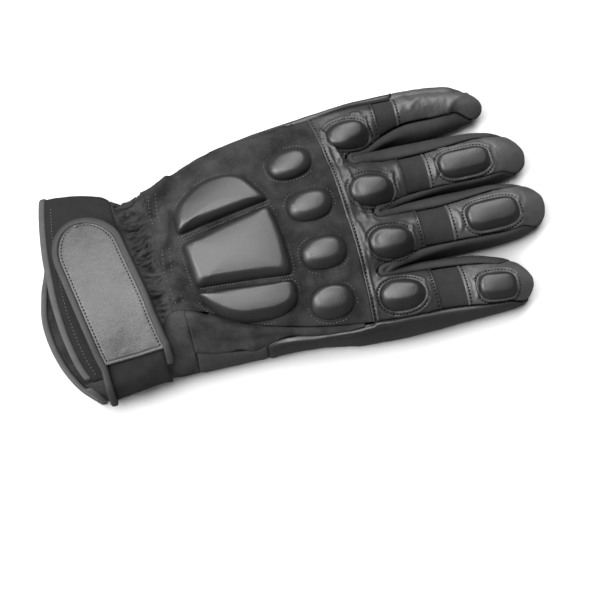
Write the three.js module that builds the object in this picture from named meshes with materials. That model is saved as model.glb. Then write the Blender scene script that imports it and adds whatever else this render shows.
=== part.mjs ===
import * as THREE from "three";

// Tactical glove for the right hand, lying by itself with the back of the hand up.
// Millimetres: +X runs from the cuff to the fingertips, +Y to the thumb side, +Z up.
// Every panel is a wall cut from one set of cross-sections: a hand section that runs from the
// cuff to the knuckles, and a section for each finger that grows out of it at the finger roots.

// Driving dimensions
const WALL = 1.6;
const SEAM_GAP = 0.34;
const HALF_SEAM = SEAM_GAP / 2;
const KNUCKLE_SEAM_X = 28;
const KNUCKLE_SEAM_SAG = 4.5;
const KNUCKLE_SEAM_SPAN = 69;
const GATHER_START_X = -79.5;
const GATHER_END_X = -63.2;
const HAND_START_X = -57.6;
const GATHER_FOLDS = 12;
const GATHER_DEPTH = 1.3;
const GATHER_FLANK = 0.25;
const KNUCKLE_DIP = 2.4;
const KNUCKLE_DIP_WIDTH = 5.5;
const ROOT_BLEND = 24;
const PALM_LIFT = 2.6;
const PALM_INSET = 2.2;
const THUMB_RAMP = 32;
const SIDE_SHARE = 0.6;
const FLANK_CLOSE = 12;
const TIP_SQUARENESS = 2.4;
const PAD_CLEARANCE = 0.55;
const PAD_EDGE = 0.9;
const FLANK_START_X = -24;
const HAND_END_X = 20;
const SIDE_STRETCH_END_X = 23;
const FINGER_START_X = 47;
const FOURCHETTE_SHORT = 8;

// Places of the finger roots: the end of the slot between each two fingers
const SLOTS = {
  littleRing: { x: 34.3, y: -31 },
  ringMiddle: { x: 40.3, y: -2 },
  middleIndex: { x: 35, y: 27.6 },
};

// Turns rows of numbers into records with the named columns
function table(columns, rows) {
  return rows.map((row) => Object.fromEntries(columns.map((name, i) => [name, row[i]])));
}

// Cross-sections of the hand. Side is the widest point, seam the edge of the back panels,
// each with its height; sole and thumbSole are the heights of the palm on the two sides.
const HAND = table(
  ["x", "outerSide", "outerSeam", "thumbSeam", "thumbSide", "top", "outerTop", "thumbTop",
    "outerMid", "thumbMid", "sole", "thumbSole"],
  [
    [-128, -52, -45, 47, 52.5, 26, 19, 19, 10, 11, 0.6, 0.6],
    [-105, -53, -45, 47, 52, 28.5, 21, 22, 10, 12, 0.6, 0.8],
    [-85, -51, -43, 41, 46.4, 31, 23, 25, 10, 14, 0.6, 1.5],
    [-76, -49.8, -38, 35.5, 39.8, 32.5, 26.5, 26.5, 10.5, 15.5, 0.6, 3],
    [-64, -50.5, -25, 37.4, 41.6, 35.5, 32, 28.5, 11, 18, 0.6, 8],
    [-48, -51.3, -29, 41.5, 45.4, 38.5, 33, 30.5, 11, 21, 0.4, 14.8],
    [-30, -51.8, -39, 46.8, 50.9, 40.5, 31, 31.5, 11, 23, 0.2, 16],
    [0, -54, -48, 51, 54.9, 41.5, 29, 32, 11, 24, 0, 15.4],
    [25, -58.8, -52.2, 52.7, 57, 41, 27.5, 32, 11, 24, 0.2, 13],
    [40, -59.8, -53.4, 55, 59.8, 38, 26, 30, 11, 21.5, 0.4, 11.3],
    [62, -59.6, -53.9, 57.2, 62.6, 31, 23, 25, 10, 16, 0.4, 8],
  ],
);

const FINGER_COLUMNS = [
  "x", "outerSide", "outerSeam", "thumbSeam", "thumbSide", "top", "seam", "mid", "sole",
];

// Each finger, from the outer edge of the hand to the thumb side: its cross-sections, the ends
// of the slots beside it, its rounded tip, and where its stretch cloth and tip leather begin
const LITTLE = {
  name: "little",
  outerSlot: { x: 35, y: -53 },
  thumbSlot: SLOTS.littleRing,
  tip: { x: 110.7, y: -47.5, z: 8, round: 14 },
  stretchX: 61.5,
  tipX: 74.5,
  rows: table(FINGER_COLUMNS, [
    [20, -58.2, -51.6, -31, -31, 40, 34, 16, 0.2],
    [34.3, -59.4, -53, -31, -31, 36, 30, 17, 0.2],
    [44, -59.8, -53.6, -33, -28.6, 32.5, 27, 15, 0.2],
    [53, -59.8, -54, -33, -26.8, 29.5, 24.5, 13, 0.2],
    [62, -59.6, -53.9, -32.9, -26.2, 27, 22, 11.5, 0.2],
    [74, -59.4, -54.8, -33.6, -27.3, 24.5, 20, 10.5, 0.2],
    [86, -59.2, -56.2, -35, -28.6, 22, 18, 9.5, 0],
    [98, -58.9, -56.4, -37.2, -31.6, 19.5, 15.5, 8.5, -0.4],
    [110, -57.5, -55, -40, -36, 17, 13, 7.5, -0.4],
  ]),
};
const RING = {
  name: "ring",
  outerSlot: SLOTS.littleRing,
  thumbSlot: SLOTS.ringMiddle,
  tip: { x: 128.2, y: -10.5, z: 8, round: 19 },
  stretchX: 62.5,
  tipX: 76.8,
  rows: table(FINGER_COLUMNS, [
    [20, -31, -31, -2, -2, 41, 36, 20, 4],
    [34.3, -31, -31, -2, -2, 38.5, 33, 20, 4],
    [40.3, -29.2, -28, -2, -2, 36.5, 31, 18.5, 4],
    [48, -27.6, -25.2, -4.4, 0.6, 34, 28.5, 17, 4],
    [60, -26, -22.6, -3.5, 3.6, 30.5, 25.5, 14.5, 3.5],
    [75, -25.4, -22.5, -3.3, 4.6, 27.5, 23, 12.5, 2.5],
    [90, -25.8, -22.6, -1.9, 4.6, 25, 20.5, 10.5, 1],
    [105, -25.6, -22.7, -0.4, 4.4, 22.5, 18, 9, -0.2],
    [128, -23.5, -20.5, -1, 2.5, 17, 13.5, 7.5, -0.4],
  ]),
};
const MIDDLE = {
  name: "middle",
  outerSlot: SLOTS.ringMiddle,
  thumbSlot: SLOTS.middleIndex,
  tip: { x: 126.2, y: 15.8, z: 8, round: 19 },
  stretchX: 61.3,
  tipX: 73,
  rows: table(FINGER_COLUMNS, [
    [20, -2, -2, 27.6, 27.6, 41, 36, 24, 12],
    [35, -2, -2, 27.6, 27.6, 38, 33, 21, 11],
    [40.3, -2, -2, 24.8, 30, 36, 31, 19.5, 10],
    [48, 1.2, 1.4, 24.3, 32.4, 33.5, 28.5, 17.5, 9],
    [60, 4.4, 5.2, 24.7, 34.3, 30, 25.5, 14.5, 6.5],
    [75, 5.4, 6.2, 25.4, 34.6, 27.5, 23, 12, 4],
    [90, 5.4, 6.6, 26.8, 34.2, 25, 20.5, 10.5, 1.8],
    [104, 5.3, 7.2, 28, 33.4, 22, 18, 9, 0],
    [126, 6, 9, 26.5, 30.5, 17, 13.5, 7.5, -0.4],
  ]),
};
const INDEX = {
  name: "index",
  outerSlot: SLOTS.middleIndex,
  thumbSlot: { x: 35, y: 54.2 },
  tip: { x: 113.3, y: 47, z: 8, round: 18 },
  stretchX: 56.8,
  tipX: 66.5,
  rows: table(FINGER_COLUMNS, [
    [20, 27.6, 27.6, 52.4, 56.6, 40, 33, 24, 13],
    [35, 27.6, 27.6, 54.2, 58.6, 34, 28, 20, 11.5],
    [46, 31.8, 32.2, 56, 61, 31.5, 26, 17.5, 9.5],
    [57, 35.2, 38.6, 57, 62.1, 29, 24, 15.5, 7.5],
    [70, 35.8, 42.8, 57.5, 62.9, 26.5, 21.5, 13.5, 5],
    [84, 36.4, 43.5, 57.4, 62.7, 24, 19, 11.5, 2.5],
    [98, 38.3, 44.3, 55.8, 61.2, 21, 16, 9.5, 0.3],
    [113, 40, 43.5, 51, 57, 17, 13, 8, -0.4],
  ]),
};
const FINGERS = [LITTLE, RING, MIDDLE, INDEX];

// Edges of the two cuff halves: how far each reaches back, by place across the cuff
const CUFF_EDGE = table(["x", "back", "palm"], [
  [-54, -104, -106],
  [-41, -112, -117],
  [-25, -116, -124],
  [-6, -117.8, -126.8],
  [10, -117.6, -124],
  [21, -117.2, -120.2],
  [40, -115.2, -117],
  [53, -113, -114],
]);

// How much of the outer flank the stretch cloth covers, below the suede
const FLANK = table(["x", "share"], [
  [-58, 0.33], [-32, 0.41], [-24, 0.36], [-14, 0.26], [0, 0.23], [15, 0.14], [27, 0.06], [60, 0.06],
]);

// Wrist strap: centre line and rounded end across the back of the cuff
const STRAP = {
  halfWidth: 17,
  centreX: -92.6,
  lean: -0.17,
  roundY: 13,
  endY: 33,
  startTurn: -0.55,
  lift: 0.75,
  baseThickness: 1.4,
  faceThickness: 1.2,
  faceStartY: -39,
  border: 3.6,
};
const BINDING = { width: 3.1, thickness: 3.4, cuffWidth: 2.8, cuffThickness: 3 };

// Thumb: a flattened tube that leaves a hole in the palm, turns forwards and lies under it
const THUMB = {
  hingeX: -20.6,
  hingeGap: 2.1,
  rootZ: 15.25,
  settle: 0.45,
  rootY: 28,
  wallPoints: 16,
  turnSteps: 4,
  heading: -30,
  sections: table(["along", "halfWidth", "height"], [
    [0, 16, 13.6],
    [14, 15, 12.6],
    [30, 13.8, 11.6],
    [44, 12.6, 10.8],
    [54, 10.6, 9.6],
    [59, 7.2, 7.8],
    [61, 3, 5.4],
  ]),
  hole: { xBack: -34.4, xFront: FLANK_START_X },
};

// Moulded pads: the four corners of each in plan, its height, and how square its outline is
const PADS = table(["name", "back", "front", "height", "square"], [
  ["hand_upper", [[-51.5, 9.4], [-49.5, 28.5]], [[-7, 14.2], [-13.5, 34.5]], 6.4, 3.2],
  ["hand_middle", [[-50, -18.6], [-51.4, 4.4]], [[-5.2, -23.6], [-7.2, 11.4]], 5.6, 6.5],
  ["hand_lower", [[-42.5, -38.7], [-49.5, -21.2]], [[-7.5, -41], [-4.6, -25.6]], 6.4, 3.2],
]);
const OVALS = table(["name", "x", "y", "length", "width", "turn", "height"], [
  ["back_index", 8.1, 30.6, 21.5, 15.4, 6, 5],
  ["back_middle", 11.8, 7, 21.5, 15.4, 2, 5],
  ["back_ring", 12.4, -17, 21.5, 15.4, 0, 5],
  ["back_little", 10.6, -39.6, 20.5, 15, -2, 5],
  ["knuckle_index", 40, 39.8, 21.5, 15.2, 6, 5.4],
  ["knuckle_middle", 43.4, 8.8, 22, 15.6, 2, 5.4],
  ["knuckle_ring", 45.6, -18.4, 22, 15, 0, 5.4],
  ["knuckle_little", 44.2, -43.7, 21.5, 14.4, -2, 5.4],
  ["finger_middle", 92.9, 15.4, 26.5, 13.6, 2, 4],
  ["finger_ring", 98.8, -13.5, 27, 14.4, 2, 4],
  ["finger_little", 91, -48.6, 19, 12.8, -5, 4],
]);

// Moves the origin to the middle of the glove's own box, on the table
const ORIGIN = { x: 0.73, y: 1.56 };

const FINISH = {
  leather: new THREE.MeshStandardMaterial({ color: 0x2c2c2c, roughness: 0.48, metalness: 0 }),
  pad: new THREE.MeshStandardMaterial({ color: 0x333333, roughness: 0.4, metalness: 0 }),
  suede: new THREE.MeshStandardMaterial({ color: 0x222222, roughness: 0.95, metalness: 0 }),
  stretch: new THREE.MeshStandardMaterial({ color: 0x1a1a1a, roughness: 0.9, metalness: 0 }),
  twill: new THREE.MeshStandardMaterial({ color: 0x2a2a2a, roughness: 0.85, metalness: 0 }),
  binding: new THREE.MeshStandardMaterial({ color: 0x4a4a4a, roughness: 0.6, metalness: 0 }),
  strap: new THREE.MeshStandardMaterial({ color: 0x565656, roughness: 0.5, metalness: 0 }),
};

// Small maths

const mix = (a, b, t) => a + (b - a) * t;
const clamp = (v, low, high) => Math.min(Math.max(v, low), high);

function smooth(v) {
  const t = clamp(v, 0, 1);
  return t * t * (3 - 2 * t);
}

function steps(from, to, count) {
  return Array.from({ length: count + 1 }, (_, i) => mix(from, to, i / count));
}

// Reads a table at x, along a smooth curve through its rows
function sample(rows, x) {
  const last = rows.length - 1;
  const at = clamp(x, rows[0].x, rows[last].x);
  let i = 0;
  while (i < last - 1 && at > rows[i + 1].x) i += 1;
  const [a, b] = [rows[i], rows[i + 1]];
  const before = rows[Math.max(i - 1, 0)];
  const after = rows[Math.min(i + 2, last)];
  const span = b.x - a.x;
  const t = (at - a.x) / span;
  const out = { x };
  for (const name of Object.keys(a)) {
    if (name === "x") continue;
    const slopeA = ((b[name] - before[name]) / (b.x - before.x)) * span;
    const slopeB = ((after[name] - a[name]) / (after.x - a.x)) * span;
    const rise = b[name] - a[name];
    out[name] = a[name] + t * (slopeA + t * (3 * rise - 2 * slopeA - slopeB
      + t * (slopeA + slopeB - 2 * rise)));
  }
  return out;
}

const knuckleSeamX = (y) =>
  KNUCKLE_SEAM_X - KNUCKLE_SEAM_SAG * ((y + 20) / KNUCKLE_SEAM_SPAN) ** 2;

// Cross-sections. A section is a closed line in Y and Z made of four arcs, in turn:
// the back from the outer seam to the thumb seam, the thumb-side flank down to the palm,
// the palm, and the outer flank up to the back.
const ARC = { back: 0, thumb: 1, palm: 2, outer: 3 };

// Height of the back of the hand: a low arch, with dips between the knuckles
function handTop(row, y) {
  const s = clamp((y - row.outerSeam) / (row.thumbSeam - row.outerSeam), 0, 1);
  const edge = mix(row.outerTop, row.thumbTop, s);
  const arch = row.top - (row.outerTop + row.thumbTop) / 2;
  const dip = Object.values(SLOTS).reduce(
    (sum, slot) => sum + Math.exp(-(((y - slot.y) / KNUCKLE_DIP_WIDTH) ** 2)),
    0,
  );
  const near = smooth((row.x - 8) / 30);
  return edge + arch * (1 - Math.abs(2 * s - 1) ** 2.4) - KNUCKLE_DIP * near * dip;
}

// Height of the palm: low at the outer edge, raised over the folded thumb
function handSole(row, y) {
  return mix(row.sole, row.thumbSole, smooth((y - row.outerSide - 4) / THUMB_RAMP));
}

// The part's full cross-section at x. Root is 1 where a finger is still part of the hand.
function section(finger, x) {
  const hand = sample(HAND, x);
  if (!finger) {
    const outer = { seam: [hand.outerSeam, hand.outerTop], side: [hand.outerSide, hand.outerMid] };
    const thumb = { seam: [hand.thumbSeam, hand.thumbTop], side: [hand.thumbSide, hand.thumbMid] };
    outer.palm = [hand.outerSide + PALM_INSET, handSole(hand, hand.outerSide) + PALM_LIFT];
    thumb.palm = [hand.thumbSide - PALM_INSET, handSole(hand, hand.thumbSide) + PALM_LIFT];
    return {
      outer,
      thumb,
      back: (s) => {
        const y = mix(hand.outerSeam, hand.thumbSeam, s);
        return [y, handTop(hand, y)];
      },
      palm: (s) => {
        const y = mix(thumb.palm[0], outer.palm[0], s);
        return [y, handSole(hand, y) + PALM_LIFT * Math.abs(2 * s - 1) ** 9];
      },
      webbed: () => 0,
    };
  }
  const row = sample(finger.rows, x);
  const closed = 1 - smooth((x - finger.tip.x + 4 + FLANK_CLOSE) / FLANK_CLOSE);
  const root = (s) => {
    const slotX = mix(finger.outerSlot.x, finger.thumbSlot.x, s);
    return 1 - smooth((x - slotX) / ROOT_BLEND);
  };
  const flank = (side, s) => {
    const outer = side === "outer";
    const web = outer ? finger !== LITTLE : finger !== INDEX;
    const slot = finger[`${side}Slot`];
    const joined = web && x <= slot.x;
    const y = joined ? slot.y : row[`${side}Seam`];
    const sideY = joined ? slot.y : row[`${side}Side`];
    const w = root(s);
    const inset = (outer ? 1 : -1) * PALM_INSET * (web ? 1 - w : 1);
    const palm = [sideY + inset, 0];
    palm[1] = mix(row.sole, handSole(hand, palm[0]), w) + PALM_LIFT * (web ? 1 - w : 1);
    const topZ = mix(row.seam, handTop(hand, y), w);
    const rootMid = web ? (topZ + palm[1]) / 2 : hand[`${side}Mid`];
    const middle = [sideY, mix(row.mid, rootMid, w)];
    const seam = [mix(middle[0], y, closed), mix(middle[1], topZ, closed)];
    palm[0] = mix(middle[0], palm[0], closed);
    palm[1] = mix(middle[1], palm[1], closed);
    return { seam, side: middle, palm };
  };
  const outer = flank("outer", 0);
  const thumb = flank("thumb", 1);
  return {
    outer,
    thumb,
    back: (s) => {
      const y = mix(outer.seam[0], thumb.seam[0], s);
      const low = mix(row.mid, row.seam, closed);
      const own = low + (row.top - low) * (1 - Math.abs(2 * s - 1) ** mix(2, 2.3, closed));
      return [y, mix(own, handTop(hand, y), root(s))];
    },
    palm: (s) => {
      const y = mix(thumb.palm[0], outer.palm[0], s);
      const w = root(1 - s);
      const edge = mix(thumb.palm[1], outer.palm[1], s);
      const flat = mix(row.sole, handSole(hand, y), w);
      return [y, mix(flat, edge, Math.abs(2 * s - 1) ** 6)];
    },
    webbed: (s) => 1 - smooth((x - mix(finger.outerSlot.x, finger.thumbSlot.x, s)) / 1.2),
  };
}

// A flank from the back seam at 0 round its widest point to the palm seam at 1:
// two quarters of an ellipse that meet at the widest point
function flankPoint(flank, t) {
  const { seam, side, palm } = flank;
  if (t < SIDE_SHARE) {
    const turn = (t / SIDE_SHARE) * (Math.PI / 2);
    return [
      mix(seam[0], side[0], Math.sin(turn)),
      side[1] + (seam[1] - side[1]) * Math.cos(turn),
    ];
  }
  const turn = ((t - SIDE_SHARE) / (1 - SIDE_SHARE)) * (Math.PI / 2);
  return [
    palm[0] + (side[0] - palm[0]) * Math.cos(turn),
    side[1] - (side[1] - palm[1]) * Math.sin(turn),
  ];
}

function arcPoint(sec, arc, t) {
  if (arc === ARC.back) return sec.back(t);
  if (arc === ARC.thumb) return flankPoint(sec.thumb, t);
  if (arc === ARC.palm) return sec.palm(t);
  return flankPoint(sec.outer, 1 - t);
}

function arcNormal(sec, arc, t) {
  const a = arcPoint(sec, arc, clamp(t - 0.02, 0, 1));
  const b = arcPoint(sec, arc, clamp(t + 0.02, 0, 1));
  const length = Math.hypot(b[0] - a[0], b[1] - a[1]) || 1;
  return [-(b[1] - a[1]) / length, (b[0] - a[0]) / length];
}

const distance = (a, b) => Math.hypot(a[0] - b[0], a[1] - b[1]);

// The mitre at the corner where an arc starts, between the arcs on its two sides.
// A flank that has closed up near a fingertip is passed over.
function cornerMitre(sec, arc) {
  const isShort = (one) => distance(arcPoint(sec, one, 0), arcPoint(sec, one, 1)) < 1;
  let [before, after] = [(arc + 3) % 4, arc];
  if (isShort(before)) before = (before + 3) % 4;
  if (isShort(after)) after = (after + 1) % 4;
  const a = arcNormal(sec, before, 1);
  const b = arcNormal(sec, after, 0);
  const sum = [a[0] + b[0], a[1] + b[1]];
  const length = Math.hypot(sum[0], sum[1]) || 1;
  const dot = Math.max((sum[0] * a[0] + sum[1] * a[1]) / length, 0.5);
  return [sum[0] / length / dot, sum[1] / length / dot];
}

// Inward direction for the wall: square to its arc, and mitred towards a corner of the section
function wallNormal(sec, arc, t) {
  const own = arcNormal(sec, arc, t);
  const end = t < 0.5 ? 0 : 1;
  const mitre = cornerMitre(sec, (arc + end) % 4);
  const far = smooth(distance(arcPoint(sec, arc, t), arcPoint(sec, arc, end)) / (2 * WALL));
  const broad = arc === ARC.back || arc === ARC.palm;
  const webbed = broad ? sec.webbed(arc === ARC.back ? end : 1 - end) : 0;
  const plain = Math.max(far, webbed);
  return [mix(mitre[0], own[0], plain), mix(mitre[1], own[1], plain)];
}

// One point of a wall: its outer and inner ends. Near a fingertip the section shrinks
// to a point along a blunt curve. What would sink below the table is flattened on it.
function wallPoint(finger, x, arc, t, lift = 0) {
  const place = (at, offset, shrinkLength) => {
    const sec = section(finger, at);
    const p = arcPoint(sec, arc, t);
    const n = wallNormal(sec, arc, t);
    let y = p[0] - n[0] * offset;
    let z = p[1] - n[1] * offset;
    let px = at;
    if (finger) {
      const start = finger.tip.x - finger.tip.round;
      const part = clamp((at - start) / finger.tip.round, 0, 1);
      const keep = (1 - part ** TIP_SQUARENESS) ** (1 / TIP_SQUARENESS);
      y = mix(finger.tip.y, y, keep);
      z = mix(finger.tip.z, z, keep) + lift * part;
      px = Math.min(at, start) + part * shrinkLength;
    }
    return [px, y, Math.max(z, offset)];
  };
  const round = finger ? finger.tip.round : 0;
  return { outer: place(x, 0, round), inner: place(x, WALL, round - WALL) };
}

// Solids

// Closes a sheet of wall points into a solid. Each grid is rows of wall points; grids that
// share points are joined, and every open edge is walled from the outer to the inner sheet.
function panel(grids) {
  const keys = new Map();
  const outer = [];
  const inner = [];
  const add = (point) => {
    const key = point.outer.map((v) => Math.round(v * 500)).join(",");
    if (!keys.has(key)) {
      keys.set(key, outer.length);
      outer.push(point.outer);
      inner.push(point.inner);
    }
    return keys.get(key);
  };
  const sheet = [];
  for (const grid of grids) {
    const ids = grid.map((row) => row.map((point) => (point ? add(point) : -1)));
    for (let i = 0; i + 1 < ids.length; i += 1) {
      for (let j = 0; j + 1 < ids[i].length; j += 1) {
        if (grid.skip && grid.skip(i, j)) continue;
        const [a, b, c, d] = [ids[i][j], ids[i + 1][j], ids[i + 1][j + 1], ids[i][j + 1]];
        sheet.push([a, b, c], [a, c, d]);
      }
    }
  }
  const faces = sheet.filter(([a, b, c]) => a !== b && b !== c && c !== a);
  const count = outer.length;
  const edges = new Set(faces.flatMap(([a, b, c]) => [`${a},${b}`, `${b},${c}`, `${c},${a}`]));
  const all = faces.flatMap(([a, b, c]) => [[a, b, c], [a + count, c + count, b + count]]);
  for (const edge of edges) {
    const [a, b] = edge.split(",").map(Number);
    if (edges.has(`${b},${a}`)) continue;
    all.push([b, a, a + count], [b, a + count, b + count]);
  }
  return solid([...outer, ...inner], all);
}

// A geometry from points and triangles, turned so that its faces point out
function solid(points, triangles) {
  let volume = 0;
  for (const [a, b, c] of triangles) {
    const [p, q, r] = [points[a], points[b], points[c]];
    volume += p[0] * (q[1] * r[2] - q[2] * r[1]) - p[1] * (q[0] * r[2] - q[2] * r[0])
      + p[2] * (q[0] * r[1] - q[1] * r[0]);
  }
  const order = volume > 0 ? triangles : triangles.map(([a, b, c]) => [a, c, b]);
  const geometry = new THREE.BufferGeometry();
  geometry.setAttribute("position", new THREE.Float32BufferAttribute(points.flat(), 3));
  geometry.setIndex(order.flat());
  geometry.computeVertexNormals();
  return geometry;
}

// A bar carried along a path: each stop has a point and two axes for the profile
function bar(stops, profile) {
  const size = profile.length;
  const points = stops.flatMap(({ point, wide, high }) =>
    profile.map(([a, b]) => point.map((v, i) => v + wide[i] * a + high[i] * b)));
  const triangles = [];
  for (let i = 0; i + 1 < stops.length; i += 1) {
    for (let j = 0; j < size; j += 1) {
      const k = (j + 1) % size;
      const [a, b, c, d] = [i * size + j, (i + 1) * size + j, (i + 1) * size + k, i * size + k];
      triangles.push([a, b, c], [a, c, d]);
    }
  }
  const end = (stops.length - 1) * size;
  for (let j = 1; j + 1 < size; j += 1) {
    triangles.push([0, j, j + 1], [end, end + j + 1, end + j]);
  }
  return solid(points, triangles);
}

// A rounded bar profile with eight corners
function roundedProfile(width, thickness) {
  const [w, t] = [width / 2, thickness / 2];
  const [cw, ct] = [w * 0.55, t * 0.5];
  return [[w, -ct], [w, ct], [cw, t], [-cw, t], [-w, ct], [-w, -ct], [-cw, -t], [cw, -t]];
}

const group = new THREE.Group();

function addPiece(name, geometry, material) {
  const mesh = new THREE.Mesh(geometry, material);
  mesh.name = name;
  group.add(mesh);
}

// Panels

// The place on an arc that lies a given distance in from the place t, towards the place far
function inFrom(sec, arc, t, far, reach) {
  const start = arcPoint(sec, arc, t);
  let [near, beyond] = [t, far];
  for (let turn = 0; turn < 14; turn += 1) {
    const half = (near + beyond) / 2;
    if (distance(start, arcPoint(sec, arc, half)) < reach) near = half;
    else beyond = half;
  }
  return beyond;
}

// Trims a range of an arc at each end by the distance asked for
function trimmed(sec, arc, from, to, trimFrom, trimTo) {
  const middle = (from + to) / 2;
  return [
    trimFrom ? inFrom(sec, arc, from, middle, trimFrom) : from,
    trimTo ? inFrom(sec, arc, to, middle, trimTo) : to,
  ];
}

// A grid over one arc. Lines give x from y for the two ends, so that the ends may be curved.
// Rows is a count, or the shares of the length at which the rows lie.
function arcGrid(finger, arc, options) {
  const { startX, endX, rows, columns, from = () => 0, to = () => 1 } = options;
  const { trimFrom = 0, trimTo = 0, lift = 0 } = options;
  const shares = Array.isArray(rows) ? rows : steps(0, 1, rows);
  return shares.map((u) => steps(0, 1, columns).map((v) => {
    let x = mix(startX(0), endX(0), u);
    let t = v;
    for (let turn = 0; turn < 3; turn += 1) {
      const sec = section(finger, x);
      const [low, high] = trimmed(sec, arc, from(x), to(x), trimFrom, trimTo);
      t = mix(low, high, v);
      const y = arcPoint(sec, arc, t)[0];
      x = mix(startX(y), endX(y), u);
    }
    return wallPoint(finger, x, arc, t, lift);
  }));
}

const fixed = (x) => () => x;

// Places along the hand where the back panels have their rows
const HAND_STOPS = [HAND_START_X, -49, -40, -32, FLANK_START_X, -14, 2, HAND_END_X, KNUCKLE_SEAM_X];

// Back of the hand in suede, from the gathered wrist to the knuckle seam, with a flap down the
// thumb-side flank between the gathered wrist and the palm leather
function suedeBack() {
  const startX = GATHER_END_X + SEAM_GAP / 2;
  const length = HAND_STOPS[HAND_STOPS.length - 1] - GATHER_END_X;
  const rows = [0, ...HAND_STOPS.map((x) => (x - GATHER_END_X) / length)];
  const back = arcGrid(null, ARC.back, {
    startX: fixed(startX),
    endX: (y) => knuckleSeamX(y) - SEAM_GAP / 2,
    rows,
    columns: 18,
    trimFrom: HALF_SEAM,
    trimTo: HALF_SEAM,
  });
  const flap = [startX, HAND_START_X - SEAM_GAP].map((x, i) => [
    back[i][back[i].length - 1],
    ...steps(0, 1, 4).slice(1).map((t) => wallPoint(null, x, ARC.thumb, t)),
  ]);
  return panel([back, flap]);
}

// Rows across a finger strip from the hand to the slot ends, then along the separate finger
function stripRows(finger, startX, endX, handRows, fingerRows) {
  const slotX = (s) => mix(finger.outerSlot.x, finger.thumbSlot.x, s);
  const rows = [];
  for (const u of steps(0, 1, handRows)) rows.push((s, y) => mix(startX(y), slotX(s), u));
  for (const u of steps(0, 1, fingerRows).slice(1)) {
    rows.push((s, y) => mix(slotX(s), endX(y), u));
  }
  return rows;
}

// One finger's share of a comb-shaped panel: joined to its neighbours up to the slot ends
function combGrid(finger, rows, handRows, columns, trims) {
  const arc = ARC.back;
  return rows.map((rowX, i) => steps(0, 1, columns).map((v) => {
    const open = i > handRows;
    let x = rowX(v, finger.tip.y);
    let t = v;
    for (let turn = 0; turn < 3; turn += 1) {
      const sec = section(finger, x);
      const [low, high] = trimmed(
        sec, arc, 0, 1, trims[0] || open ? HALF_SEAM : 0, trims[1] || open ? HALF_SEAM : 0,
      );
      t = mix(low, high, v);
      x = rowX(v, arcPoint(sec, arc, t)[0]);
    }
    return wallPoint(finger, x, arc, t);
  }));
}

function knuckleBand() {
  return panel(FINGERS.map((finger) => {
    const rows = stripRows(
      finger,
      (y) => knuckleSeamX(y) + SEAM_GAP / 2,
      fixed(finger.stretchX - SEAM_GAP / 2),
      2,
      3,
    );
    return combGrid(finger, rows, 2, 6, [finger === LITTLE, finger === INDEX]);
  }));
}

function stretchPanel(finger) {
  return panel([arcGrid(finger, ARC.back, {
    startX: fixed(finger.stretchX + SEAM_GAP / 2),
    endX: fixed(finger.tipX - SEAM_GAP / 2),
    rows: 2,
    columns: 6,
    trimFrom: HALF_SEAM,
    trimTo: HALF_SEAM,
  })]);
}

// Places along a finger up to its tip, closer together where it rounds off
function tipStops(finger, startX, rows, roundRows) {
  const roundX = finger.tip.x - finger.tip.round;
  const straight = steps(startX, roundX, rows).slice(0, -1);
  const rounded = steps(0, Math.PI / 2, roundRows);
  return [...straight, ...rounded.map((turn) => roundX + finger.tip.round * Math.sin(turn))];
}

// Leather over the end of a finger, a little apart from the palm leather
const TIP_GAP = 1.5 * SEAM_GAP;

function tipPanel(finger) {
  const stops = tipStops(finger, finger.tipX + HALF_SEAM, 3, 5);
  return panel([stops.map((x) => steps(0, 1, 6).map((v) => {
    const sec = section(finger, x);
    const [low, high] = trimmed(sec, ARC.back, 0, 1, TIP_GAP, TIP_GAP);
    return wallPoint(finger, x, ARC.back, mix(low, high, v), TIP_GAP);
  }))]);
}

// Leather palm: a comb of four finger undersides, with the flanks at both outer edges.
// The hole for the thumb lies between two rows and between two columns of the hand part.
function palmPanel() {
  const grids = [];
  const { xBack, xFront } = THUMB.hole;
  const handStops = [HAND_START_X, -48, xBack, xFront, -14, 2, HAND_END_X];
  const slotOf = (finger, s) => mix(finger.outerSlot.x, finger.thumbSlot.x, s);
  for (const finger of FINGERS) {
    const tipRows = tipStops(finger, FINGER_START_X, 4, 5);
    const columns = steps(0, 1, 4);
    const tracks = [
      ...handStops.map((x) => ({ x: () => x, hand: true })),
      { x: (s) => slotOf(finger, s), hand: true },
      ...tipRows.map((x) => ({ x: () => x, hand: false })),
    ];
    const grid = tracks.map(({ x: track, hand }) => columns.map((v) => {
      const s = 1 - v;
      const x = track(s);
      return x < HAND_END_X
        ? palmHandPoint(finger, x, v) : palmFingerPoint(finger, x, v, !hand);
    }));
    if (finger === MIDDLE) grid.skip = (i, j) => i === 2 && j < 2;
    if (finger === INDEX) grid.skip = (i, j) => i === 2 && j > 0;
    grids.push(grid);
  }
  const outerStops = handStops.filter((x) => x >= FLANK_START_X);
  grids.push(flankGrid(LITTLE, ARC.outer, outerStops));
  grids.push(flankGrid(INDEX, ARC.thumb, handStops));
  return panel(grids);
}

// A palm point of one finger's strip where it is part of the hand
function palmHandPoint(finger, x, v) {
  const sec = section(null, x);
  const bottom = [sec.thumb.palm[0], sec.outer.palm[0]];
  const high = finger === INDEX ? bottom[0] : finger.thumbSlot.y;
  const low = finger === LITTLE ? bottom[1] : finger.outerSlot.y;
  const y = mix(high, low, v);
  const clear = x < FLANK_START_X ? inFrom(sec, ARC.palm, 1, 0.5, SEAM_GAP) : 1;
  const t = Math.min((y - bottom[0]) / (bottom[1] - bottom[0]), clear);
  return wallPoint(null, x, ARC.palm, t);
}

function palmFingerPoint(finger, x, v, open) {
  const sec = section(finger, x);
  const trim = (web) => (open && web ? SEAM_GAP : 0);
  const ends = [trim(finger !== INDEX), trim(finger !== LITTLE)];
  const [low, high] = trimmed(sec, ARC.palm, 0, 1, ...ends);
  return wallPoint(finger, x, ARC.palm, mix(low, high, v), open ? -HALF_SEAM : 0);
}

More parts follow.
